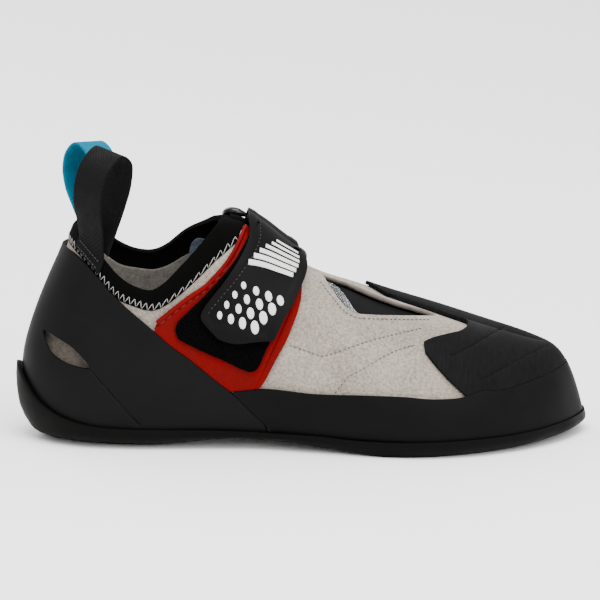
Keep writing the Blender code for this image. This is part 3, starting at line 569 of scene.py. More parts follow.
def makeFinish(name, look):  # one procedural material from a dictionary
    made = bpy.data.materials.new(name)
    made.use_nodes = True
    tree = made.node_tree
    link = tree.links.new
    shader = tree.nodes["Principled BSDF"]
    for socket, value in look.get("sockets", {}).items():
        shader.inputs[socket].default_value = value
    place = addNode(tree, "TexCoord")
    spot = place.outputs["Object"]
    if "stretch" in look:  # grain drawn out along one direction
        drawn = addNode(tree, "Mapping")
        drawn.inputs["Scale"].default_value = look["stretch"]
        link(spot, drawn.inputs["Vector"])
        spot = drawn.outputs[0]
    base = addNode(tree, "Group", node_tree=mottle)
    base.inputs["Dark"].default_value = (*look["dark"], 1)
    base.inputs["Light"].default_value = (*look["light"], 1)
    base.inputs["Patches"].default_value = look["patches"]
    base.inputs["Grain"].default_value = look["grain"]
    base.inputs["Grain Share"].default_value = look.get("grainShare", 0.5)
    link(spot, base.inputs["Vector"])
    colour = base.outputs["Color"]
    height = base.outputs["Height"]
    if "threads" in look:
        cloth = addNode(tree, "Group", node_tree=weave)
        cloth.inputs["Across"].default_value = look["threads"][0]
        cloth.inputs["Along"].default_value = look["threads"][1]
        link(place.outputs["UV"], cloth.inputs["Vector"])
        fuzz = mathNode(tree, "MULTIPLY", height, fuzzShare)
        height = mathNode(tree, "ADD", fuzz, cloth.outputs["Height"])
        shade = addNode(tree, "Mix", data_type="RGBA", blend_type="MULTIPLY")
        shade.inputs[0].default_value = look["threadShade"]
        link(colour, shade.inputs[6])
        link(cloth.outputs["Height"], shade.inputs[7])
        colour = shade.outputs[2]
    link(colour, shader.inputs["Base Color"])
    rough = addNode(tree, "MapRange")
    rough.inputs["To Min"].default_value = look["rough"][0]
    rough.inputs["To Max"].default_value = look["rough"][1]
    rough.inputs["From Min"].default_value = mottleForm["roughSpan"][0]
    rough.inputs["From Max"].default_value = mottleForm["roughSpan"][1]
    link(base.outputs["Patch"], rough.inputs["Value"])
    link(rough.outputs[0], shader.inputs["Roughness"])
    bump = addNode(tree, "Bump")
    bump.inputs["Strength"].default_value = look["bump"]
    bump.inputs["Distance"].default_value = look["depth"] * mm
    link(height, bump.inputs["Height"])
    link(bump.outputs[0], shader.inputs["Normal"])
    return made


looks = {
    "suede": {"dark": (0.132, 0.112, 0.093), "light": (0.282, 0.244, 0.206), "patches": 45,
              "grain": 850, "grainShare": 0.68, "rough": (0.9, 1.0), "bump": 0.85, "depth": 0.5,
              "sockets": {"Sheen Weight": 0.12, "Sheen Roughness": 0.5, "Specular IOR Level": 0.1}},
    "suedeEdge": {"dark": (0.075, 0.064, 0.055), "light": (0.15, 0.13, 0.112), "patches": 300,
                  "grain": 2600, "rough": (0.95, 1.0), "bump": 0.8, "depth": 0.3,
                  "sockets": {"Specular IOR Level": 0.05}},
    # a darker copy of the suede: painted shade for the upper seen in the heel's teardrops
    "suedePaintedShade": {"dark": (0.040, 0.034, 0.029), "light": (0.085, 0.073, 0.062), "patches": 300,
                   "grain": 1400, "rough": (0.95, 1.0), "bump": 0.6, "depth": 0.3,
                   "sockets": {"Specular IOR Level": 0.05}},
    "lining": {"dark": (0.078, 0.069, 0.061), "light": (0.165, 0.15, 0.135), "patches": 260,
               "grain": 1100, "rough": (0.9, 1.0), "bump": 0.4, "depth": 0.2,
               "sockets": {"Specular IOR Level": 0.1}},
    "heelRubber": {"dark": (0.0018, 0.0018, 0.0019), "light": (0.0037, 0.0037, 0.0038), "patches": 35,
                   "grain": 2400, "grainShare": 0.35, "rough": (0.48, 0.62), "bump": 0.12,
                   "depth": 0.12, "sockets": {"Specular IOR Level": 0.06}},
    "randRubber": {"dark": (0.0016, 0.0016, 0.0016), "light": (0.0034, 0.0034, 0.0035), "patches": 45,
                   "grain": 2600, "grainShare": 0.35, "rough": (0.48, 0.66), "bump": 0.15,
                   "depth": 0.12, "sockets": {"Specular IOR Level": 0.045}},
    "toeRubber": {"dark": (0.0013, 0.0013, 0.0014), "light": (0.0040, 0.0040, 0.0042), "patches": 90,
                  "grain": 900, "grainShare": 0.55, "rough": (0.6, 0.75), "bump": 0.35, "depth": 0.15,
                  "stretch": (1.0, 0.25, 0.12), "sockets": {"Specular IOR Level": 0.05}},
    "soleRubber": {"dark": (0.0007, 0.0006, 0.0005), "light": (0.0018, 0.0016, 0.0014), "patches": 55,
                   "grain": 2200, "grainShare": 0.45, "rough": (0.45, 0.65), "bump": 0.2, "depth": 0.15,
                   "sockets": {"Specular IOR Level": 0.05}},
    "trimKnit": {"dark": (0.0007, 0.0007, 0.0006), "light": (0.0020, 0.0020, 0.0018), "patches": 200,
                 "grain": 3000, "rough": (0.85, 0.98), "threads": (520, 16), "threadShade": 0.5,
                 "bump": 0.6, "depth": 0.25, "sockets": {"Specular IOR Level": 0.03}},
    "throatCloth": {"dark": (0.0028, 0.0028, 0.0028), "light": (0.0065, 0.0065, 0.0064), "patches": 120,
                    "grain": 2400, "rough": (0.7, 0.85), "threads": (150, 60), "threadShade": 0.4,
                    "bump": 0.5, "depth": 0.2, "sockets": {"Specular IOR Level": 0.05}},
    "netCloth": {"dark": (0.0008, 0.0008, 0.0008), "light": (0.0025, 0.0025, 0.0025), "patches": 400,
                 "grain": 2400, "rough": (0.7, 0.85), "bump": 0.5, "depth": 0.2,
                 "sockets": {"Specular IOR Level": 0.04}},
    "insoleFelt": {"dark": (0.05, 0.043, 0.037), "light": (0.085, 0.075, 0.067), "patches": 70,
                   "grain": 2200, "rough": (0.92, 1.0), "bump": 0.5, "depth": 0.2},
    "redCloth": {"dark": (0.085, 0.0002, 0.0006), "light": (0.132, 0.0004, 0.0010), "patches": 70,
                 "grain": 1800, "grainShare": 0.4, "rough": (0.6, 0.8), "threads": (110, 90),
                 "threadShade": 0.25, "bump": 0.3, "depth": 0.12,
                 "sockets": {"Specular IOR Level": 0.06}},
    "pile": {"dark": (0.0002, 0.0002, 0.0002), "light": (0.0018, 0.0018, 0.0018), "patches": 700,
             "grain": 1500, "grainShare": 0.7, "rough": (0.95, 1.0), "bump": 1.0, "depth": 0.6,
             "sockets": {"Specular IOR Level": 0.015}},
    "strapRubber": {"dark": (0.0010, 0.0010, 0.0010), "light": (0.0022, 0.0022, 0.0022), "patches": 60,
                    "grain": 2600, "grainShare": 0.4, "rough": (0.5, 0.62), "bump": 0.25, "depth": 0.1,
                    "sockets": {"Specular IOR Level": 0.06}},
    "printWhite": {"dark": (0.50, 0.50, 0.49), "light": (0.60, 0.60, 0.59), "patches": 150,
                   "grain": 2400, "rough": (0.45, 0.6), "bump": 0.1, "depth": 0.05},
    "ringPlastic": {"dark": (0.0015, 0.0015, 0.0015), "light": (0.003, 0.003, 0.003), "patches": 150,
                    "grain": 3000, "rough": (0.22, 0.34), "bump": 0.05, "depth": 0.05,
                    "sockets": {"Specular IOR Level": 0.3}},
    "tabWebbing": {"dark": (0.0015, 0.0015, 0.0015), "light": (0.0035, 0.0035, 0.0035), "patches": 150,
                   "grain": 2600, "rough": (0.75, 0.9), "threads": (60, 24), "threadShade": 0.55,
                   "bump": 0.6, "depth": 0.25, "sockets": {"Specular IOR Level": 0.05}},
    "blackWebbing": {"dark": (0.0014, 0.0014, 0.0015), "light": (0.0040, 0.0040, 0.0042),
                     "patches": 150, "grain": 2600, "rough": (0.6, 0.78), "threads": (110, 22),
                     "threadShade": 0.5, "bump": 0.5, "depth": 0.22,
                     "sockets": {"Specular IOR Level": 0.06}},
    "blueWebbing": {"dark": (0.0001, 0.092, 0.155), "light": (0.0002, 0.150, 0.240), "patches": 150,
                    "grain": 2600, "rough": (0.6, 0.75), "threads": (110, 22), "threadShade": 0.35,
                    "bump": 0.5, "depth": 0.22, "sockets": {"Specular IOR Level": 0.03}},
    "threadWhite": {"dark": (0.22, 0.21, 0.20), "light": (0.36, 0.35, 0.34), "patches": 600,
                    "grain": 4000, "rough": (0.6, 0.8), "bump": 0.4, "depth": 0.1},
    "threadGrey": {"dark": (0.055, 0.049, 0.043), "light": (0.09, 0.08, 0.072), "patches": 600,
                   "grain": 4000, "rough": (0.7, 0.85), "bump": 0.4, "depth": 0.1},
    "threadNet": {"dark": (0.20, 0.205, 0.215), "light": (0.50, 0.51, 0.53), "patches": 500,
                  "grain": 4000, "rough": (0.6, 0.8), "bump": 0.4, "depth": 0.1},
    "threadDark": {"dark": (0.018, 0.018, 0.018), "light": (0.04, 0.04, 0.04), "patches": 600,
                   "grain": 4000, "rough": (0.6, 0.8), "bump": 0.4, "depth": 0.1},
    "threadRed": {"dark": (0.05, 0.001, 0.0014), "light": (0.085, 0.0022, 0.0026), "patches": 600,
                  "grain": 4000, "rough": (0.6, 0.8), "bump": 0.4, "depth": 0.1},
    "softBlue": {"dark": (0.025, 0.034, 0.050), "light": (0.10, 0.125, 0.16), "patches": 500,
                 "grain": 1800, "rough": (0.95, 1.0), "bump": 0.9, "depth": 0.4},
}
finishes = {name: makeFinish(name, look) for name, look in looks.items()}
print("finishes:", len(finishes))


# sole

soleForm = {
    "rows": [  # along, rim outer, rim inner, ground outer, ground inner, contact, wall, lip
        (0, 34.6, 34.6, 0.0, 0.0, 0.50, 6.2, 4.9), (3, 28.0, 28.0, 0.0, 0.0, 0.50, 6.0, 4.8),
        (8, 20.4, 20.4, 0.0, 0.0, 0.51, 5.6, 4.5), (13, 16.7, 16.7, 0.0, 0.0, 0.54, 5.2, 4.3),
        (26, 11.9, 12.2, 0.0, 0.0, 0.60, 4.6, 4.0), (44, 10.4, 11.0, 0.0, 0.0, 0.63, 4.5, 4.0),
        (54, 10.2, 11.8, 0.3, 0.6, 0.65, 4.5, 3.9), (64, 10.2, 12.6, 1.2, 2.2, 0.68, 4.4, 3.9),
        (84, 10.3, 13.8, 3.8, 5.6, 0.78, 4.3, 3.8), (101, 10.1, 14.2, 4.7, 7.4, 0.86, 4.2, 3.8),
        (118, 10.1, 13.8, 4.0, 7.0, 0.88, 4.2, 3.8), (135, 9.9, 12.0, 3.0, 4.4, 0.90, 4.2, 3.8),
        (152, 9.0, 9.8, 1.4, 1.8, 0.91, 4.2, 3.8), (166, 8.7, 9.2, 0.0, 0.0, 0.92, 4.2, 3.8),
        (186, 8.6, 9.0, 0.0, 0.0, 0.90, 4.2, 3.8), (204, 8.7, 8.8, 0.0, 0.0, 0.86, 4.1, 3.7),
        (222, 8.7, 8.7, 0.0, 0.0, 0.82, 3.8, 3.5), (236, 8.9, 8.9, 0.4, 0.4, 0.80, 3.4, 3.3),
        (248, 9.1, 9.1, 1.5, 1.5, 0.79, 3.2, 3.15), (260, 9.2, 9.2, 2.9, 2.9, 0.79, 3.1, 3.1)],
    "spine": (24.0, 236.0),
    "bevelOut": 0.6,
    "bevelUp": 0.32,
    "leaveGround": 0.85,
    "reachWall": 0.8,
    "gap": 3.0,
    "floorGap": 0.4,
    "columns": 360,
    "edgeRound": 0.5,
    "groundRings": (0, 0.35, 0.7, 0.92, 1),  # from the spine out to the ground's edge
    "turnRings": 12,
    "wallProbe": 0.1,
    "wallRings": (0.15, 0.3, 0.45, 0.6, 0.8, 1),  # up to the rim
    "innerRings": (1, 0.5, 0.2),  # down inside the rim
    "floorRings": (1, 0.5, 0),  # in to the spine
}
insoleForm = {"wall": 2.0, "inset": -2.9, "columns": 200, "dish": 0.9, "edgeRound": 0.4,
              "rings": (0.95, 0.85, 0.6, 0.3, 0)}


def spinePoint(lap):
    back, front = soleForm["spine"]
    middle = (lastPoint(lap, 0).y + lastPoint(1 - lap, 0).y) / 2
    return Vector((between(back, front, fractionAlong(lap)), middle, 0))


def bedLevel(lap, share):
    level = (bedHeight(lap % 1) + bedHeight((1 - lap) % 1)) / 2
    return level + (bedHeight(lap % 1) - level) * share * share


def makeSole():
    rows = soleForm["rows"]
    rim, ground = roundFoot(rows, 1, 2), roundFoot(rows, 3, 4)
    contact, wall, lip = roundFoot(rows, 5, 5), roundFoot(rows, 6, 6), roundFoot(rows, 7, 7)

    def groundAt(lap):
        return max(ground(lap % 1), 0)

    def under(lap, share):
        edge = besideEdge(lap, wall(lap))
        middle = spinePoint(lap)
        spot = middle + (edge - middle) * contact(lap) * share
        level = (groundAt(lap) + groundAt(1 - lap)) / 2
        return Vector((spot.x, spot.y, level + (groundAt(lap) - level) * share * share))

    def shoulder(lap):
        edge = besideEdge(lap, wall(lap))
        inner = under(lap, 1)
        out = between(inner, edge, soleForm["bevelOut"])
        up = between(groundAt(lap), bedHeight(lap), soleForm["bevelUp"])
        return Vector((out.x, out.y, up))

    @lru_cache(None)
    def side(lap, share, offset):
        return offLast(lap, riseAt(lap, between(bedHeight(lap), rim(lap), share)), offset)

    def turned(lap, share):  # from the ground's edge round the shoulder to the wall
        first, middle, last = under(lap, 1), shoulder(lap), side(lap, 0, wall(lap))
        upward = (side(lap, soleForm["wallProbe"], wall(lap)) - last).normalized()
        leave = first.lerp(middle, soleForm["leaveGround"])
        arrive = last - upward * (last - middle).length * soleForm["reachWall"]
        rest = 1 - share
        curve = first * rest ** 3 + leave * 3 * share * rest * rest
        return curve + arrive * 3 * share * share * rest + last * share ** 3

    def inside(lap, share):
        spot = between(spinePoint(lap), besideEdge(lap, soleForm["gap"]), share)
        return Vector((spot.x, spot.y, bedLevel(lap, share) - soleForm["floorGap"]))

    turns = soleForm["turnRings"]
    rings = [lambda lap, s=s: under(lap, s) for s in soleForm["groundRings"]]
    rings += [lambda lap, s=s: turned(lap, s / turns) for s in range(1, turns + 1)]
    rings += [lambda lap, s=s: side(lap, s, between(wall(lap), lip(lap), s)) for s in soleForm["wallRings"]]
    rings += [lambda lap, s=s: side(lap, s, soleForm["gap"]) for s in soleForm["innerRings"]]
    rings += [lambda lap, s=s: inside(lap, s) for s in soleForm["floorRings"]]
    ringSolid("outsole", soleForm, rings, "soleRubber", "outsole")


def makeInsole():
    def ring(share, lift):
        def place(lap):
            edge = besideEdge(lap, soleForm["gap"])
            spot = besideEdge(lap, insoleForm["inset"])
            middle = spinePoint(lap)
            reach = (spot.y - middle.y) / (edge.y - middle.y) if edge.y != middle.y else 1
            spot = between(middle, spot, share)
            return Vector((spot.x, spot.y, bedLevel(lap, share * reach) + lift))

        return place

    wall = insoleForm["wall"]
    rings = [ring(0, 0), ring(1, 0), ring(1, wall)]
    rings += [ring(s, wall - insoleForm["dish"] * (1 - s ** 4)) for s in insoleForm["rings"]]
    ringSolid("insole", insoleForm, rings, "insoleFelt", "insole")


makeSole()
makeInsole()
print("sole and insole")


# suede upper with its throat

upperForm = {
    "columns": 400,
    "rows": 60,
    "wall": 2.0,
    "lift": 0.5,
    "edgeGap": 0.4,
    "crestEase": 4.0,
    "closes": 110.0,
    "throatNear": [  # along, and how high the edge stands in the side view
        (138.6, 73.4), (140.9, 71.0), (144.5, 66.2), (150, 59.3), (153.2, 56.6), (156, 55.5),
        (160, 55.1), (175.7, 54.6), (187, 54.5), (194, 54.5)],
    "throatFar": [
        (138.6, 73.5), (141.5, 73.2), (146, 71.7), (152.8, 69.2), (164.2, 64.3), (175.7, 60.1),
        (183, 58.1), (187.1, 56.9), (191, 55.5), (194, 54.6)],
    "slitReach": 4.0,  # how far past the throat's end its columns may meet the crest
    "reliefLaps": (0.02, 0.46),
    "seams": [  # stitched lines in the side view
        [(125.3, 41.0), (139.0, 36.4), (141.8, 36.4), (151.4, 39.6), (165.6, 44.2), (186.7, 49.2)],
        [(145.9, 19.5), (151.4, 26.3), (156.9, 29.5), (172.5, 38.2), (183.0, 41.4)],
        [(139.3, 70.0), (143.1, 65.0), (148.7, 58.0), (152.3, 55.0), (155.6, 53.7), (160.0, 53.2),
         (175.7, 52.8), (190.0, 52.7)]],
    "seamPieces": 6,
    "stitch": (1.0, 1.15, 0.26),  # length, gap, radius
    "folds": [  # soft troughs and ridges: line, half width, height
        ([(128, 64), (138, 58), (146, 54)], 3.2, -0.35),
        ([(134, 48), (146, 47), (158, 49)], 4.0, 0.3),
        ([(60, 62), (72, 60), (80, 54)], 4.0, -0.3),
        ([(150, 30), (165, 30), (182, 33)], 4.0, 0.25)],
    "stitchTrough": (0.9, -0.3),
    "heelHollow": ([(15.4, 45.6), (24.0, 38.5), (32.8, 30.5)], 8.0, -1.1),
}


throatNear = tableCurve(upperForm["throatNear"])
throatFar = tableCurve(upperForm["throatFar"])


def makeUpper():
    width, depth = upperForm["stitchTrough"]
    lines = list(upperForm["folds"]) + [upperForm["heelHollow"]]
    routes = [fineRoute(seam, upperForm["seamPieces"]) for seam in upperForm["seams"]]
    lines += [(route, width, depth) for route in routes]
    start, end = upperForm["throatNear"][0][0], upperForm["throatNear"][-1][0]
    reliefStart, reliefEnd = upperForm["reliefLaps"]

    @lru_cache(None)
    def span(lap):  # lower and upper end of a column
        bottom = stepUp(lap, 0, upperForm["lift"])
        top = trimLow(lap)
        if lastPoint(lap, 1).x < upperForm["closes"]:
            top = stepUp(lap, top, -upperForm["edgeGap"] * (1 + upperForm["crestEase"] * top ** 4))
        return bottom, top

    @lru_cache(None)
    def slit(lap):  # rises of the throat's two edges on a column
        if isInner(lap) or not start < lastPoint(lap, 1).x < end + upperForm["slitReach"]:
            return None
        sides = [riseSeen(lap, edge) for edge in (throatNear, throatFar)]
        return sides if start < lastPoint(lap, sides[0]).x < end else None

    columns, rows = upperForm["columns"], upperForm["rows"]
    work = bmesh.new()
    work.loops.layers.uv.new("UVMap")
    bmesh.ops.create_grid(work, x_segments=columns, y_segments=rows, size=1, calc_uvs=True)
    sideOf = {}
    for vert in work.verts:
        lap = round((vert.co.x + 1) / 2 * columns) / columns % 1
        up = round((vert.co.y + 1) / 2 * rows) / rows
        bottom, top = span(lap)
        rise = between(bottom, top, up)
        cut = slit(lap)
        sideOf[vert] = 0
        if cut and cut[0] < rise < cut[1]:  # inside the throat: drawn to its nearer edge
            sideOf[vert] = 1 if rise - cut[0] < cut[1] - rise else 2
            rise = cut[sideOf[vert] - 1]
        swell = 0
        if reliefStart < lap < reliefEnd and up < 1:
            swell = relief(lastPoint(lap, rise), rise, lines)
        vert.co = inFrame(offLast(lap, rise, swell))
    throat = [face for face in work.faces if {sideOf[vert] for vert in face.verts} == {1, 2}]
    bmesh.ops.delete(work, geom=throat, context="FACES")
    bmesh.ops.remove_doubles(work, verts=work.verts, dist=weld)
    piece = addPiece("upper", meshFrom(work, "upper"), ["suede", "lining", "suedeEdge"], "upper")
    thicken(piece, upperForm["wall"], -1, 0)
    settle(piece)
    ends = []
    length, gap, radius = upperForm["stitch"]
    for route in routes:
        ends += stitchLine(route, length, gap)
    stitches("upperStitch", ends, radius, "threadGrey")


makeUpper()
print("upper")


# tongue, the net strip beside it, and the soft patch inside the collar

tongueForm = {
    "start": 108.0, "end": 206.0, "overlap": 6.0, "depth": -3.1, "wall": 1.8, "edgeRound": 0.12,
    "columns": 140, "rows": 40,
}
netForm = {
    "start": 139.5, "end": 157.0, "overlap": 5.0, "depth": -2.15, "wall": 0.4, "edgeRound": 0.12,
    "columns": 60, "rows": 14,
    "far": [(139.5, 72.4), (143.6, 69.9), (148.2, 66.6), (150.9, 63.0), (155.3, 56.4), (157, 55.0)],
    "meshes": (13, 5), "threadRadius": 0.14, "threadLift": 0.1,
}
blueForm = {
    "back": 78.3, "front": 89.0, "low": 77.6, "high": 88.2, "lean": 0.3, "corner": 0.4,
    "depth": -2.75, "wall": 0.5, "edgeRound": 0.2, "columns": 14, "rows": 14,
}


def throatSkin(name, form, low, high, coat, node):
    start, end = lapAt(form["start"], 1), lapAt(form["end"], 1)

    def place(across, up):
        lap = between(start, end, across)
        return offLast(lap, between(low(lap), high(lap), up), form["depth"])

    mesh = gridMesh(name, form["columns"], form["rows"], place)
    piece = addPiece(name, mesh, [coat], node)
    thicken(piece, form["wall"], -1, form["edgeRound"])
    settle(piece)


def makeTongue():
    @lru_cache(None)
    def near(lap):
        return riseSeen(lap, throatNear)

    @lru_cache(None)
    def far(lap):
        return riseSeen(lap, throatFar)

    overlap = tongueForm["overlap"]
    throatSkin("tongue", tongueForm, lambda lap: stepUp(lap, near(lap), -overlap),
               lambda lap: stepUp(lap, far(lap), overlap), "throatCloth", "tongue")
    netFar = tableCurve(netForm["far"])

    @lru_cache(None)
    def netHigh(lap):  # as the strip itself shows, deeper than the suede
        def past(rise):
            along, up = seen(offLast(lap, rise, netForm["depth"]))
            return up > netFar(along)

        return halve(0, 1, past)

    def netLow(lap):
        return stepUp(lap, near(lap), -netForm["overlap"])

    throatSkin("netStrip", netForm, netLow, netHigh, "netCloth", None)
    columns, rows = netForm["meshes"]
    start, end = lapAt(netForm["start"], 1), lapAt(netForm["end"], 1)

    def knot(i, j):
        lap = start + (end - start) * i / columns
        rise = netLow(lap) + (netHigh(lap) - netLow(lap)) * j / rows
        return offLast(lap, rise, netForm["depth"] + netForm["threadLift"])

    # two threads cross in each mesh
    cells = [(i, j) for i in range(columns) for j in range(rows)]
    ends = [(knot(i, j), knot(i + 1, j + 1)) for i, j in cells]
    ends += [(knot(i + 1, j), knot(i, j + 1)) for i, j in cells]
    stitches("netThreads", ends, netForm["threadRadius"], "threadNet")


def makeCollarPatch():  # soft patch on the inner side's lining, seen through the collar
    def place(across, up):
        height = between(blueForm["low"], blueForm["high"], up)
        narrow = 1 - blueForm["corner"] * abs(2 * up - 1) ** 3
        along = between(blueForm["front"], blueForm["back"], 0.5 + (across - 0.5) * narrow)
        lap = lapAtSpot(along + blueForm["lean"] * (height - blueForm["low"]), height)
        return offLast(1 - lap, riseAt(lap, height), blueForm["depth"])

    mesh = gridMesh("collarPatch", blueForm["columns"], blueForm["rows"], place)
    piece = addPiece("collarPatch", mesh, ["softBlue"])
    thicken(piece, blueForm["wall"], 1, blueForm["edgeRound"])
    settle(piece)


makeCollarPatch()
makeTongue()
print("tongue")


# collar trim with its zigzag

trimForm = {
    "tipLap": 17 / 80,
    "columns": 300,
    "rows": 12,
    "gap": -2.1,
    "wall": 2.6,
    "edgeRound": 0.7,
    "crown": 0.45,
    "zigInset": 0.004,  # laps free of thread at each tip
    "zigProbe": 0.002,
    "zigLow": (-0.8, 0.45),  # up from the trim's lower edge, and out
    "zigHigh": (2.9, 1.25),
    "zigPitch": 1.45,
    "threadRadius": 0.15,
}


def makeTrim():
    tip = trimForm["tipLap"]
    inset, probe = trimForm["zigInset"], trimForm["zigProbe"]
    settle(skin("collarTrim", trimForm, -tip, tip, trimLow, trimHigh, "trimKnit",
                "collar_trim"))
    spots = []
    lap = -tip + inset
    high = False
    while lap < tip - inset:
        step, out = trimForm["zigHigh" if high else "zigLow"]
        rise = stepUp(lap, trimLow(lap), step)
        spots.append(offLast(lap, rise, out))
        pace = (offLast(lap + probe, rise, 0) - offLast(lap, rise, 0)).length / probe
        lap += trimForm["zigPitch"] / pace
        high = not high
    stitches("trimStitch", list(zip(spots, spots[1:])), trimForm["threadRadius"], "threadWhite")


makeTrim()
print("collar trim")


# rubber: heel, forefoot and toe

rubberLift = 1.6  # the rubber starts this far above the last's lower edge
heelForm = {
    "columns": 260,
    "rows": 70,
    "gap": 0.45,
    "wall": 1.9,
    "edgeRound": 0,
    "cutRound": 0.45,
    "collarGap": 0.4,
    "front": 114.0,
    "innerFront": 113.0,
    "teardrop": [  # along, height
        (13.2, 53.2), (20.7, 50.3), (27.5, 46.4), (34.3, 38.3), (26.7, 38.8), (21.3, 40.7),
        (16.8, 43.6), (14, 48.5)],
    "teardropSteps": 5,
    "teardropReach": 60.0,
    "seam": ([(34.5, 30.6), (45.0, 18.5), (56.2, 5.7)], 0.8, -0.8),
}
randForm = {"columns": 380, "rows": 22, "gap": 0.45, "wall": 1.9, "edgeRound": 0.5, "heelGap": 0.5,
            "back": 99.8}
patchForm = {
    "columns": 400,
    "rows": 90,
    "gap": 0.6,
    "wall": 1.6,
    "edgeRound": 0.45,
    "randGap": 0.12,
    "rear": [(183.5, 49), (189, 42.5), (197, 34.2), (205, 27.1)],
    "top": [(183.5, 48), (188.5, 49.4), (197, 50.2), (202.6, 50.2), (209, 51)],
    "topLevel": 0.9,  # rise at which a column is held against the end of the top edge
    "innerRear": [(154, 72), (170, 48), (185, 27.2)],
    "ridge": [
        (154, 15.5), (158, 13.0), (163, 10.6), (168, 8.8), (175, 7.8), (190, 8.2), (201, 7.6),
        (208, 5), (214, 6.5), (236, 10.9)],
    "back": 186.0,
    "innerBack": 156.0,
    "toeSlack": 0.001,  # laps either side of the toe's own column
    "scores": [  # line in the side view, half width, height
        ([(198.8, 35.4), (206.6, 38.9), (212.0, 41.8)], 0.6, -0.8),
        ([(213.0, 42.4), (218.5, 45.0), (223.6, 47.2)], 0.55, -0.5),
        ([(212.3, 24.8), (218.2, 27.9), (224.2, 30.8)], 0.6, -0.8),
        ([(226.1, 31.8), (234.8, 36.0), (242.4, 39.0)], 0.55, -0.5),
        ([(214.2, 41.2), (216.2, 45.2)], 0.6, -0.28),
        ([(219.4, 43.8), (221.2, 47.4)], 0.6, -0.28),
        ([(230.6, 32.4), (232.4, 36.6)], 0.6, -0.28),
        ([(236.2, 34.6), (238.2, 39.0)], 0.6, -0.28)],
}
windowForm = {  # darker suede over the upper where the heel's teardrops show it: painted shade
    "span": (10.5, 38.0),
    "middle": 45.0,
    "low": 36.0,
    "high": 56.0,
    "columns": 60,
    "rows": 48,
    "gap": 0.36,
    "wall": 0.06,
    "edgeRound": 0,
    "creases": [  # line in the side view, half width, height
        ([(15.5, 44.0), (19.5, 40.0), (21.5, 36.5)], 0.5, -0.3),
        ([(18.0, 45.5), (22.5, 40.5), (26.0, 34.0)], 0.5, -0.3),
        ([(21.0, 43.5), (25.5, 38.0), (29.0, 33.0)], 0.5, -0.3),
        ([(25.0, 40.0), (29.0, 36.0), (32.0, 31.5)], 0.5, -0.3)],
}


def rubberLow(lap):
    return stepUp(lap, 0, rubberLift)


def closedCurve(points, steps):  # a smooth closed outline through a few points
    count = len(points)
    keys = list(range(-2, count + 3))
    first = smoothCurve(keys, [points[i % count][0] for i in keys])
    second = smoothCurve(keys, [points[i % count][1] for i in keys])
    return [(first(i / steps), second(i / steps)) for i in range(count * steps)]


def makeHeelRubber():
    heelEdge = edgeAt["heel"]

    def high(lap):
        return min(riseTo(lap, heelEdge), stepUp(lap, trimLow(lap), -heelForm["collarGap"]))

    front, inner = lapOn(heelForm["front"], heelEdge), lapOn(heelForm["innerFront"], heelEdge)
    piece = skin("heelRubber", heelForm, -inner, front, rubberLow, high, "heelRubber",
                 "heel_rand", [heelForm["seam"]])
    reach = heelForm["teardropReach"]
    outline = closedCurve(heelForm["teardrop"], heelForm["teardropSteps"])
    corners = [Vector((x, -reach, z)) for x, z in outline]
    cutOut(piece, prism("teardropCutter", corners, Vector((0, 2 * reach, 0))))
    soften(piece, heelForm["cutRound"])
    settle(piece)


# a thin sheet of darker suede in a teardrop: painted shade over the upper's own suede
def makeHeelWindow(name, flip):
    start, end = (lapAtSpot(along, windowForm["middle"]) for along in windowForm["span"])
    if flip:
        start, end = 1 - end, 1 - start
    settle(skin(name, windowForm, start, end, lambda lap: riseAt(lap, windowForm["low"]),
                lambda lap: riseAt(lap, windowForm["high"]), "suedePaintedShade",
                lines=[upperForm["heelHollow"]] + windowForm["creases"]))


def makeRand():
    def low(lap):
        if lastPoint(lap, 0).x > edges["heel"][-1][0]:
            return rubberLow(lap)
        return stepUp(lap, riseTo(lap, edgeAt["heel"]), randForm["heelGap"])

    back = lapOn(randForm["back"], edgeAt["rand"])
    settle(skin("rand", randForm, back, 1 - back, low, lambda lap: riseTo(lap, edgeAt["rand"]),
                "randRubber", "rand"))


def makeToePatch():
    rear, top, innerRear, ridge = (
        tableCurve(patchForm[key]) for key in ("rear", "top", "innerRear", "ridge"))
    topEnd = patchForm["top"][-1][0]

    def atToe(lap):
        return abs(lap - 0.5) < patchForm["toeSlack"]

    def ridgeRise(lap):
        return riseAtSide(lap, ridge(lastPoint(lap, 1).x))

    @lru_cache(None)
    def low(lap):
        overRand = stepUp(lap, riseTo(lap, edgeAt["rand"]), patchForm["randGap"])
        if atToe(lap):
            return overRand
        return max(overRand, riseTo(lap, innerRear if isInner(lap) else rear))

    @lru_cache(None)
    def high(lap):  # both sides meet on a ridge beside the crest
        if atToe(lap):
            return 1
        if isInner(lap):
            return 2 - ridgeRise(1 - lap)
        topRise = riseTo(lap, top) if lastPoint(lap, patchForm["topLevel"]).x < topEnd else 1
        return min(topRise, ridgeRise(lap)) if topRise < 1 else ridgeRise(lap)

    back = lapOn(patchForm["back"], top)
    innerBack = 1 - lapAt(patchForm["innerBack"], 1)
    settle(skin("toePatch", patchForm, back, innerBack, low, high, "toeRubber",
                "toe_patch", patchForm["scores"]))


makeHeelRubber()
makeHeelWindow("heelWindow", False)
makeHeelWindow("heelWindowInner", True)
makeRand()
makeToePatch()
print("rubber")


# red closure panel and the loop pile on it

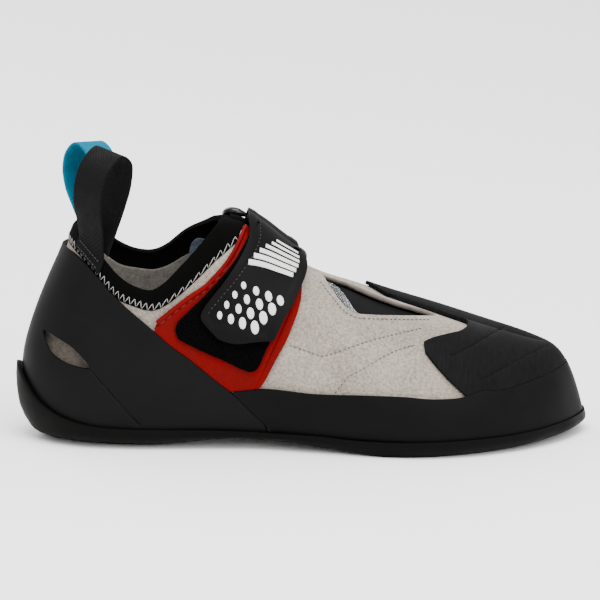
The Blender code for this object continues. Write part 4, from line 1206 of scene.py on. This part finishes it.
panelForm = {
    "columns": 200,
    "rows": 80,
    "gap": 0.95,
    "wall": 0.9,
    "edgeRound": 0.3,
    "low": [
        (61, 58), (71, 48), (80.5, 40), (93, 30), (98, 27), (111, 29), (113, 31.5), (118.6, 41.8),
        (125.6, 55.1), (130, 67.6), (131.5, 75.1)],
    "high": [(61, 57.4), (78, 70.5), (91.3, 79.6), (99.7, 89.7), (103.8, 97.2), (108, 106)],
    "back": 65.0,
    "front": 130.0,
    "topRise": 0.9,
    "edgeGap": 0.2,
    "hem": ([(110.0, 22.7), (117.6, 38.7), (124.4, 54.7), (128.0, 66.2)], 0.55, -0.4),
    "piping": [(1.1, 1.0, 0.75), (3.2, 0.7, -0.3)],  # distance below the upper edge, half width, height
    "seam": 3.2,  # distance of the stitched line below the upper edge
    "seamTop": 0.83,  # the strap hides it above this rise
    "seamStart": 0.003,  # in laps, as are the next three
    "seamSearch": 0.001,
    "stitchLength": 0.0022,
    "stitchPitch": 0.0038,
    "stitchLift": 0.05,
    "stitchRadius": 0.25,
}
pileForm = {
    "columns": 220,
    "rows": 130,
    "gap": 2.35,
    "wall": 1.0,
    "edgeRound": 0,
    "low": [
        (73, 56.5), (74, 53.4), (76.5, 51.2), (81.8, 48.4), (89, 45.2), (97, 42), (104, 38.8),
        (108, 37.7), (110.6, 38.8), (115, 47.8), (122, 61.9), (127.6, 71.1)],
    "high": [(73, 58.8), (81.5, 66.9), (91.3, 75.8), (101, 87), (108, 99)],
    "back": 74.0,
    "front": 125.5,
    "topRise": 0.86,
    "tuftScale": 900,
    "tuftHeight": 0.35,
}


def makePanel():
    low = tableCurve(panelForm["low"])
    high = tableCurve(panelForm["high"])

    @lru_cache(None)
    def lowRise(lap):
        over = max(riseTo(lap, edge) for edge in (low, edgeAt["heel"], edgeAt["rand"]))
        return stepUp(lap, over, panelForm["edgeGap"])

    @lru_cache(None)
    def highRise(lap):
        return min(riseTo(lap, high), panelForm["topRise"])

    def seamRise(lap):
        return stepUp(lap, highRise(lap), -panelForm["seam"])

    back, front = lapOn(panelForm["back"], high), lapOn(panelForm["front"], low)
    settle(skin("closurePanel", panelForm, back, front, lowRise, highRise, "redCloth",
                "closure_panel", [panelForm["hem"]]))
    lift = panelForm["gap"] + panelForm["wall"] + panelForm["stitchLift"]
    ends = []
    lap = back + panelForm["seamStart"]
    while lap < front:
        if not lowRise(lap) <= seamRise(lap) <= panelForm["seamTop"]:
            lap += panelForm["seamSearch"]
            continue
        nextLap = lap + panelForm["stitchLength"]
        ends.append((offLast(lap, seamRise(lap), lift), offLast(nextLap, seamRise(nextLap), lift)))
        lap += panelForm["stitchPitch"]
    stitches("panelStitch", ends, panelForm["stitchRadius"], "threadRed")


def makePile():
    low = tableCurve(pileForm["low"])
    high = tableCurve(pileForm["high"])
    back, front = lapOn(pileForm["back"], high), lapOn(pileForm["front"], low)
    piece = skin("loopPile", pileForm, back, front, lambda lap: riseTo(lap, low),
                 lambda lap: min(riseTo(lap, high), pileForm["topRise"]), "pile", "loop_pile")
    settle(piece)
    scale, height = pileForm["tuftScale"], pileForm["tuftHeight"]
    verts = piece.data.vertices
    tufts = [vert.normal * max(noise.noise(vert.co * scale), 0) * height * mm for vert in verts]
    for vert, tuft in zip(verts, tufts):  # uneven loops stand up from the backing
        vert.co += tuft


makePanel()
makePile()
print("closure panel")


# strap, its ring and the tab on the inner side

strapForm = {
    "rows": [  # rise, back, front, lift
        (0.33, 93, 113, 4.7), (0.37, 88, 118, 4.7), (0.41, 84.5, 120, 4.7), (0.47, 89, 122.5, 4.7),
        (0.53, 94.3, 125, 4.7), (0.63, 100.5, 128, 4.7), (0.79, 105, 130.5, 4.9),
        (0.93, 104, 128.5, 5.4), (1.06, 103.5, 124.5, 5.95), (1.3, 103.5, 124.5, 5.95)],
    "wall": 1.6,
    "edgeRound": 0.4,
    "tipSkew": 0.035,  # the tip's front corner sits higher
    "tipBow": 0.1,
    "tipPace": 70.0,  # millimetres from the tip for one whole rise
    "tipEase": 0.01,
    "foldStart": 1.08,
    "tailRise": 1.03,
    "tailBack": 97.5,  # the tail under the fold fans out behind it
    "steps": 130,
    "foldSteps": 24,
    "rowsAcross": 56,
    "border": 2.2,
    "borderInset": 1.1,
    "borderHeight": 0.35,
    "stitchRises": (0.42, 0.92),
    "stitchInset": 4.0,  # from the rear edge
    "stitchProbe": 0.005,
    "stitch": (1.0, 1.2, 0.13),  # length, gap, radius
}
ringForm = {
    "back": 95.5, "front": 130.0, "corner": 4.0, "bar": 1.1, "endSwell": 0.8, "swellEase": 3.0,
    "foldGap": 0.4, "straightSteps": 40, "turnSteps": 20, "facets": 6,
    "strapBar": (1.11, 3.65), "tabBar": (1.26, 3.3),  # rise, lift
}
tabForm = {
    "back": 103.5, "front": 124.5, "wall": 1.2, "edgeRound": 0.3, "seatGap": 0.45, "foldStart": 1.28,
    "topEnd": 1.37, "lowEnd": 1.56, "rows": 30, "topSteps": 10, "foldSteps": 20, "lowSteps": 30,
}
foldProbe = 0.01
strapBack = tableCurve(strapForm["rows"], 1)
strapFront = tableCurve(strapForm["rows"], 2)
strapLift = tableCurve(strapForm["rows"], 3)


def instep(along, rise, lift):
    return offLast(lapAt(along, rise), rise, lift)


def onFold(along, bar, radius, angle):  # round one of the ring's bars
    rise, lift = bar
    lap = lapAt(along, rise)
    inward = (lastPoint(lap, rise + foldProbe) - lastPoint(lap, rise)).normalized()
    return offLast(lap, rise, lift) + (lastNormal(lap, rise) * cos(angle) + inward * sin(angle)) * radius


def onStrap(rise, across, lift):  # a spot on the strap by rise and fraction across, off its middle
    along = between(strapBack(rise), strapFront(rise), across)
    return instep(along, rise, strapLift(rise) + lift)


def makeStrap():
    radius = ringForm["bar"] + ringForm["foldGap"] + strapForm["wall"] / 2
    tip, over = strapForm["rows"][0][0], strapForm["foldStart"]
    steps, foldSteps = strapForm["steps"], strapForm["foldSteps"]
    total = steps + foldSteps + 1

    def borderLift(rise, across):
        span = strapFront(rise) - strapBack(rise)
        gap = min(across, 1 - across) * span
        gap = min(gap, (rise - tip) * strapForm["tipPace"] + strapForm["tipEase"])
        inset = (gap - strapForm["borderInset"]) / strapForm["border"]
        return strapForm["borderHeight"] * exp(-inset ** 4)

    def place(across, up):
        step = round(across * total)
        if step <= steps:
            share = step / steps
            shift = strapForm["tipSkew"] * up - strapForm["tipBow"] * up * (1 - up)
            rise = between(tip, over, share) + shift * (1 - share) ** 3
            return onStrap(rise, up, borderLift(rise, up))
        if step < total:
            along = between(strapBack(over), strapFront(over), up)
            angle = pi * (step - steps - 1) / (foldSteps - 1)
            return onFold(along, ringForm["strapBar"], radius, angle)
        along = between(strapForm["tailBack"], strapFront(over), up)
        return instep(along, strapForm["tailRise"], ringForm["strapBar"][1] - radius)

    mesh = gridMesh("strap", total, strapForm["rowsAcross"], place)
    piece = addPiece("strap", mesh, ["strapRubber"], "strap")
    thicken(piece, strapForm["wall"], 0, strapForm["edgeRound"])
    settle(piece)
    length, gap, thread = strapForm["stitch"]
    probe = strapForm["stitchProbe"]

    def seam(rise):
        inset = strapForm["stitchInset"] / (strapFront(rise) - strapBack(rise))
        return onStrap(rise, inset, strapForm["wall"] / 2 + borderLift(rise, inset))

    ends = []
    rise, last = strapForm["stitchRises"]
    while rise < last:
        pace = (seam(rise + probe) - seam(rise)).length / probe
        ends.append((seam(rise), seam(rise + length / pace)))
        rise += (length + gap) / pace
    stitches("strapStitch", ends, thread, "threadDark")


printForm = {  # plain white dots and bars, placed by distance along the foot and rise
    "lift": 0.92,
    "thick": 0.14,
    "risePace": 74.0,  # millimetres over the strap for one whole rise
    "turn": radians(-52),
    "slant": 0.18,
    "columns": 24,
    "rows": 3,
    "bars": [  # along, rise, length, width
        (120.5, 0.86, 10.0, 1.3), (120.0, 0.822, 12.5, 1.45), (119.0, 0.784, 15.0, 1.6),
        (117.8, 0.746, 17.0, 1.75), (116.3, 0.708, 18.5, 1.9), (114.8, 0.67, 19.5, 1.9)],
    "dots": [  # along, rise, radius
        (93.5, 0.415, 1.1), (98.5, 0.405, 1.35), (103.7, 0.398, 1.6), (109.3, 0.395, 1.85),
        (96.5, 0.455, 1.1), (101.7, 0.447, 1.35), (107.1, 0.442, 1.6), (112.9, 0.442, 1.85),
        (99.9, 0.497, 1.1), (105.2, 0.49, 1.35), (110.8, 0.488, 1.6), (116.6, 0.49, 1.85),
        (103.5, 0.541, 1.1), (109.0, 0.535, 1.35), (114.6, 0.535, 1.6), (120.0, 0.54, 1.6)],
}


def makePrint():
    work = bmesh.new()
    work.loops.layers.uv.new("UVMap")
    turn = printForm["turn"]

    def onPrint(along, rise, p, q):
        spot = rise + q / printForm["risePace"]
        return instep(along + p, spot, strapLift(spot) + printForm["lift"])

    for along, rise, length, width in printForm["bars"]:
        def barPlace(across, up):
            p, q = (across - 0.5) * length, (up - 0.5) * width
            return onPrint(along, rise, p, q + p * printForm["slant"])

        addGrid(work, printForm["columns"], printForm["rows"], barPlace)
    for along, rise, radius in printForm["dots"]:
        def dotPlace(across, up):
            angle = -2 * pi * across
            return onPrint(along, rise, radius * up * cos(angle + turn), radius * up * sin(angle + turn))

        addGrid(work, printForm["columns"], printForm["rows"], dotPlace)
    piece = addPiece("strapPrint", meshFrom(work, "strapPrint"), ["printWhite"])
    thicken(piece, printForm["thick"], 1, 0)
    settle(piece)


def makeRing():
    def at(along, share):
        (firstRise, firstLift), (lastRise, lastLift) = ringForm["strapBar"], ringForm["tabBar"]
        return instep(along, between(firstRise, lastRise, share), between(firstLift, lastLift, share))

    def swell(along):  # the ring is stouter beside the strap than under it
        beside = max(tabForm["back"] - along, along - tabForm["front"], 0)
        return 1 + ringForm["endSwell"] * min(beside / ringForm["swellEase"], 1)

    corner = ringForm["corner"]
    straight, turn = ringForm["straightSteps"], ringForm["turnSteps"]
    route = []  # spot and swell
    for end, way in ((ringForm["front"] - corner, 1), (ringForm["back"] + corner, -1)):
        start = ringForm["back"] + ringForm["front"] - end
        for i in range(straight):
            along = start + (end - start) * i / straight
            route.append((at(along, (1 - way) / 2), swell(along)))
        for i in range(turn):
            angle = pi * i / turn
            along = end + way * corner * sin(angle)
            route.append((at(along, (1 - way * cos(angle)) / 2), swell(along)))
    curve = bpy.data.curves.new("ringCurve", "CURVE")
    curve.dimensions = "3D"
    curve.bevel_depth = ringForm["bar"] * mm
    curve.bevel_resolution = ringForm["facets"]
    line = curve.splines.new("POLY")
    line.points.add(len(route) - 1)
    for point, (spot, size) in zip(line.points, route):
        point.co = (*inFrame(spot), 1)
        point.radius = size
    line.use_cyclic_u = True
    holder = newObject("ringCurve", curve)
    mesh = evaluated(holder)
    bpy.data.objects.remove(holder, do_unlink=True)
    mesh.shade_smooth()
    addPiece("strapRing", mesh, ["ringPlastic"], "strap_ring")


def makeTab():
    wall = tabForm["wall"]
    radius = ringForm["bar"] + ringForm["foldGap"] + wall / 2
    seat = tabForm["seatGap"] + wall / 2
    barRise, barLift = ringForm["tabBar"]
    top, fold, low = tabForm["topSteps"], tabForm["foldSteps"], tabForm["lowSteps"]
    steps = top + fold + low

    def place(across, up):
        step = round(across * steps)
        along = between(tabForm["back"], tabForm["front"], up)
        if step < top:
            share = step / top
            rise = between(tabForm["topEnd"], tabForm["foldStart"], share)
            return instep(along, rise, between(seat + wall + ringForm["foldGap"], barLift + radius, share))
        if step <= top + fold:
            return onFold(along, ringForm["tabBar"], radius, -pi * (step - top) / fold)
        share = (step - top - fold) / low
        rise = between(barRise, tabForm["lowEnd"], share)
        return instep(along, rise, between(seat, barLift - radius, 1 - share))

    mesh = gridMesh("ringTab", steps, tabForm["rows"], place)
    piece = addPiece("ringTab", mesh, ["tabWebbing"], "ring_tab")
    thicken(piece, wall, 0, tabForm["edgeRound"])
    settle(piece)


makeStrap()
makePrint()
makeRing()
makeTab()
print("strap, ring and tab")


# pull loops

loopForm = {
    "profile": [  # out from the heel, up from the collar
        (0, 1), (1.6, 10), (4.2, 20), (4.6, 30), (1.4, 38.5), (-5.5, 43.5), (-11, 40), (-12.4, 31),
        (-10.2, 20), (-6.2, 10), (-2.4, 2.5)],
    "wall": 1.2,
    "edgeRound": 0.35,
    "width": 18.5,
    "seatSpan": 0.046,
    "seatOffset": 1.0,
    "seatLow": 1.0,
    "slope": 0.12,
    "blend": 0.25,
    "seatSteps": 12,
    "steps": 110,
    "rows": 24,
    "stitchRows": (0.2, 0.75),  # shares up the seat
    "stitchSpan": (0.1, 0.8),  # where a row starts, and how much of the width it takes
    "stitchPart": (0.15, 0.75),  # of the way from one hole to the next
    "stitchCount": 9,
    "stitchRadius": 0.16,
}
loops = [
    {"name": "pullLoopBlack", "node": "pull_loop_black", "slot": "black_webbing",
     "coat": "blackWebbing", "hand": -1, "lap": 0.071, "size": 1.0, "lean": 5.0},
    {"name": "pullLoopBlue", "node": "pull_loop_blue", "slot": "blue_webbing",
     "coat": "blueWebbing", "hand": 1, "lap": 0.062, "size": 0.9, "lean": -3.0},
]


def makeLoop(loop):
    profile = [Vector(row) for row in loopForm["profile"]]
    travel = [0]
    for before, after in zip(profile, profile[1:]):
        travel.append(travel[-1] + (after - before).length)
    outAt = smoothCurve(travel, [row.x * loop["size"] for row in profile])
    upAt = smoothCurve(travel, [row.y * loop["size"] for row in profile])
    seatSteps = loopForm["seatSteps"]
    total = seatSteps + loopForm["steps"]

    @lru_cache(None)
    def seat(across, share, lift=0.0):
        lap = loop["lap"] + (across - 0.5) * loopForm["seatSpan"]
        lap = lap if loop["hand"] < 0 else 1 - lap
        low = stepUp(lap, trimLow(lap), loopForm["seatLow"])
        middle = loopForm["seatOffset"] + loopForm["wall"] / 2
        return offLast(lap, between(low, trimHigh(lap), share), middle + lift)

    foot = seat(0.5, 1)
    widthwise = seat(1, 1) - seat(0, 1)
    widthwise.z = 0
    widthwise.normalize()
    outward = Vector((0, 0, 1)).cross(widthwise) * loop["hand"]
    tallest = max(row.y for row in profile) * loop["size"]
    widthwise.z = -loopForm["slope"]

    def free(across, share):
        spread = widthwise * (across - 0.5) * loopForm["width"]
        along = travel[-1] * share
        lean = loop["lean"] * upAt(along) / tallest
        spot = foot + spread + outward * outAt(along) + Vector((lean, 0, upAt(along)))
        blend = loopForm["blend"]
        ease = max(1 - share / blend, 0) ** 2 + max(1 - (1 - share) / blend, 0) ** 2
        return spot + (seat(across, 1) - foot - spread) * ease

    def place(across, up):
        step = round(across * total)
        if step < seatSteps:
            return seat(up, step / seatSteps)
        return free(up, (step - seatSteps) / loopForm["steps"])

    mesh = gridMesh(loop["name"], total, loopForm["rows"], place)
    piece = addPiece(loop["name"], mesh, [loop["coat"]], loop["node"])
    thicken(piece, loopForm["wall"], 0, loopForm["edgeRound"])
    settle(piece)
    count = loopForm["stitchCount"]
    start, width = loopForm["stitchSpan"]
    first, last = loopForm["stitchPart"]
    ends = []
    for share in loopForm["stitchRows"]:
        row = [seat(start + width * i / count, share, loopForm["wall"] / 2) for i in range(count + 1)]
        ends += [(a.lerp(b, first), a.lerp(b, last)) for a, b in zip(row, row[1:])]
    stitches(loop["name"] + "Stitch", ends, loopForm["stitchRadius"], "threadDark")


for loop in loops:
    makeLoop(loop)
print("pull loops")


# floor, light and camera

stageForm = {
    "floorSize": 6.0,
    "floorColour": (0.9, 0.9, 0.9),
    "floorRough": 0.8,
    "world": (1.0, 1.0, 1.0),
    "worldStrength": 1.5,
    "lights": [  # name, place, size, watts
        ("topLight", (0.1, -0.5, 1.6), 1.4, 55.0),
        ("frontLight", (0.9, -1.6, 0.9), 1.0, 25.0),
        ("backLight", (-0.9, 1.2, 1.1), 1.0, 18.0)],
    "aim": Vector((-0.0002, 0.0, 0.0634)),
    "elevation": radians(13),
    "lens": 400.0,
    "frameWidth": 0.2748,
    "clipEnd": 100.0,
}


def makeStage():
    work = bmesh.new()
    bmesh.ops.create_grid(work, x_segments=1, y_segments=1, size=stageForm["floorSize"] / 2)
    mesh = meshFrom(work, "floor")
    paint = bpy.data.materials.new("floorPaint")
    paint.use_nodes = True
    shader = paint.node_tree.nodes["Principled BSDF"]
    shader.inputs["Base Color"].default_value = (*stageForm["floorColour"], 1)
    shader.inputs["Roughness"].default_value = stageForm["floorRough"]
    mesh.materials.append(paint)
    ground = newObject("floor", mesh)

    world = bpy.data.worlds.new("studio")
    world.use_nodes = True
    sky = world.node_tree.nodes["Background"]
    sky.inputs["Color"].default_value = (*stageForm["world"], 1)
    sky.inputs["Strength"].default_value = stageForm["worldStrength"]
    bpy.context.scene.world = world
    for name, spot, size, watts in stageForm["lights"]:
        lamp = bpy.data.lights.new(name, "AREA")
        lamp.size = size
        lamp.energy = watts
        holder = newObject(name, lamp)
        holder.location = spot
        holder.rotation_euler = (stageForm["aim"] - Vector(spot)).to_track_quat("-Z", "Y").to_euler()

    lens = bpy.data.cameras.new("sideCamera")
    lens.lens = stageForm["lens"]
    holder = newObject("sideCamera", lens)
    distance = stageForm["frameWidth"] * lens.lens / lens.sensor_width
    back = Vector((0, -cos(stageForm["elevation"]), sin(stageForm["elevation"])))
    holder.location = stageForm["aim"] + back * distance
    holder.rotation_euler = (-back).to_track_quat("-Z", "Y").to_euler()
    lens.clip_end = stageForm["clipEnd"]
    bpy.context.scene.camera = holder


makeStage()
print("stage")
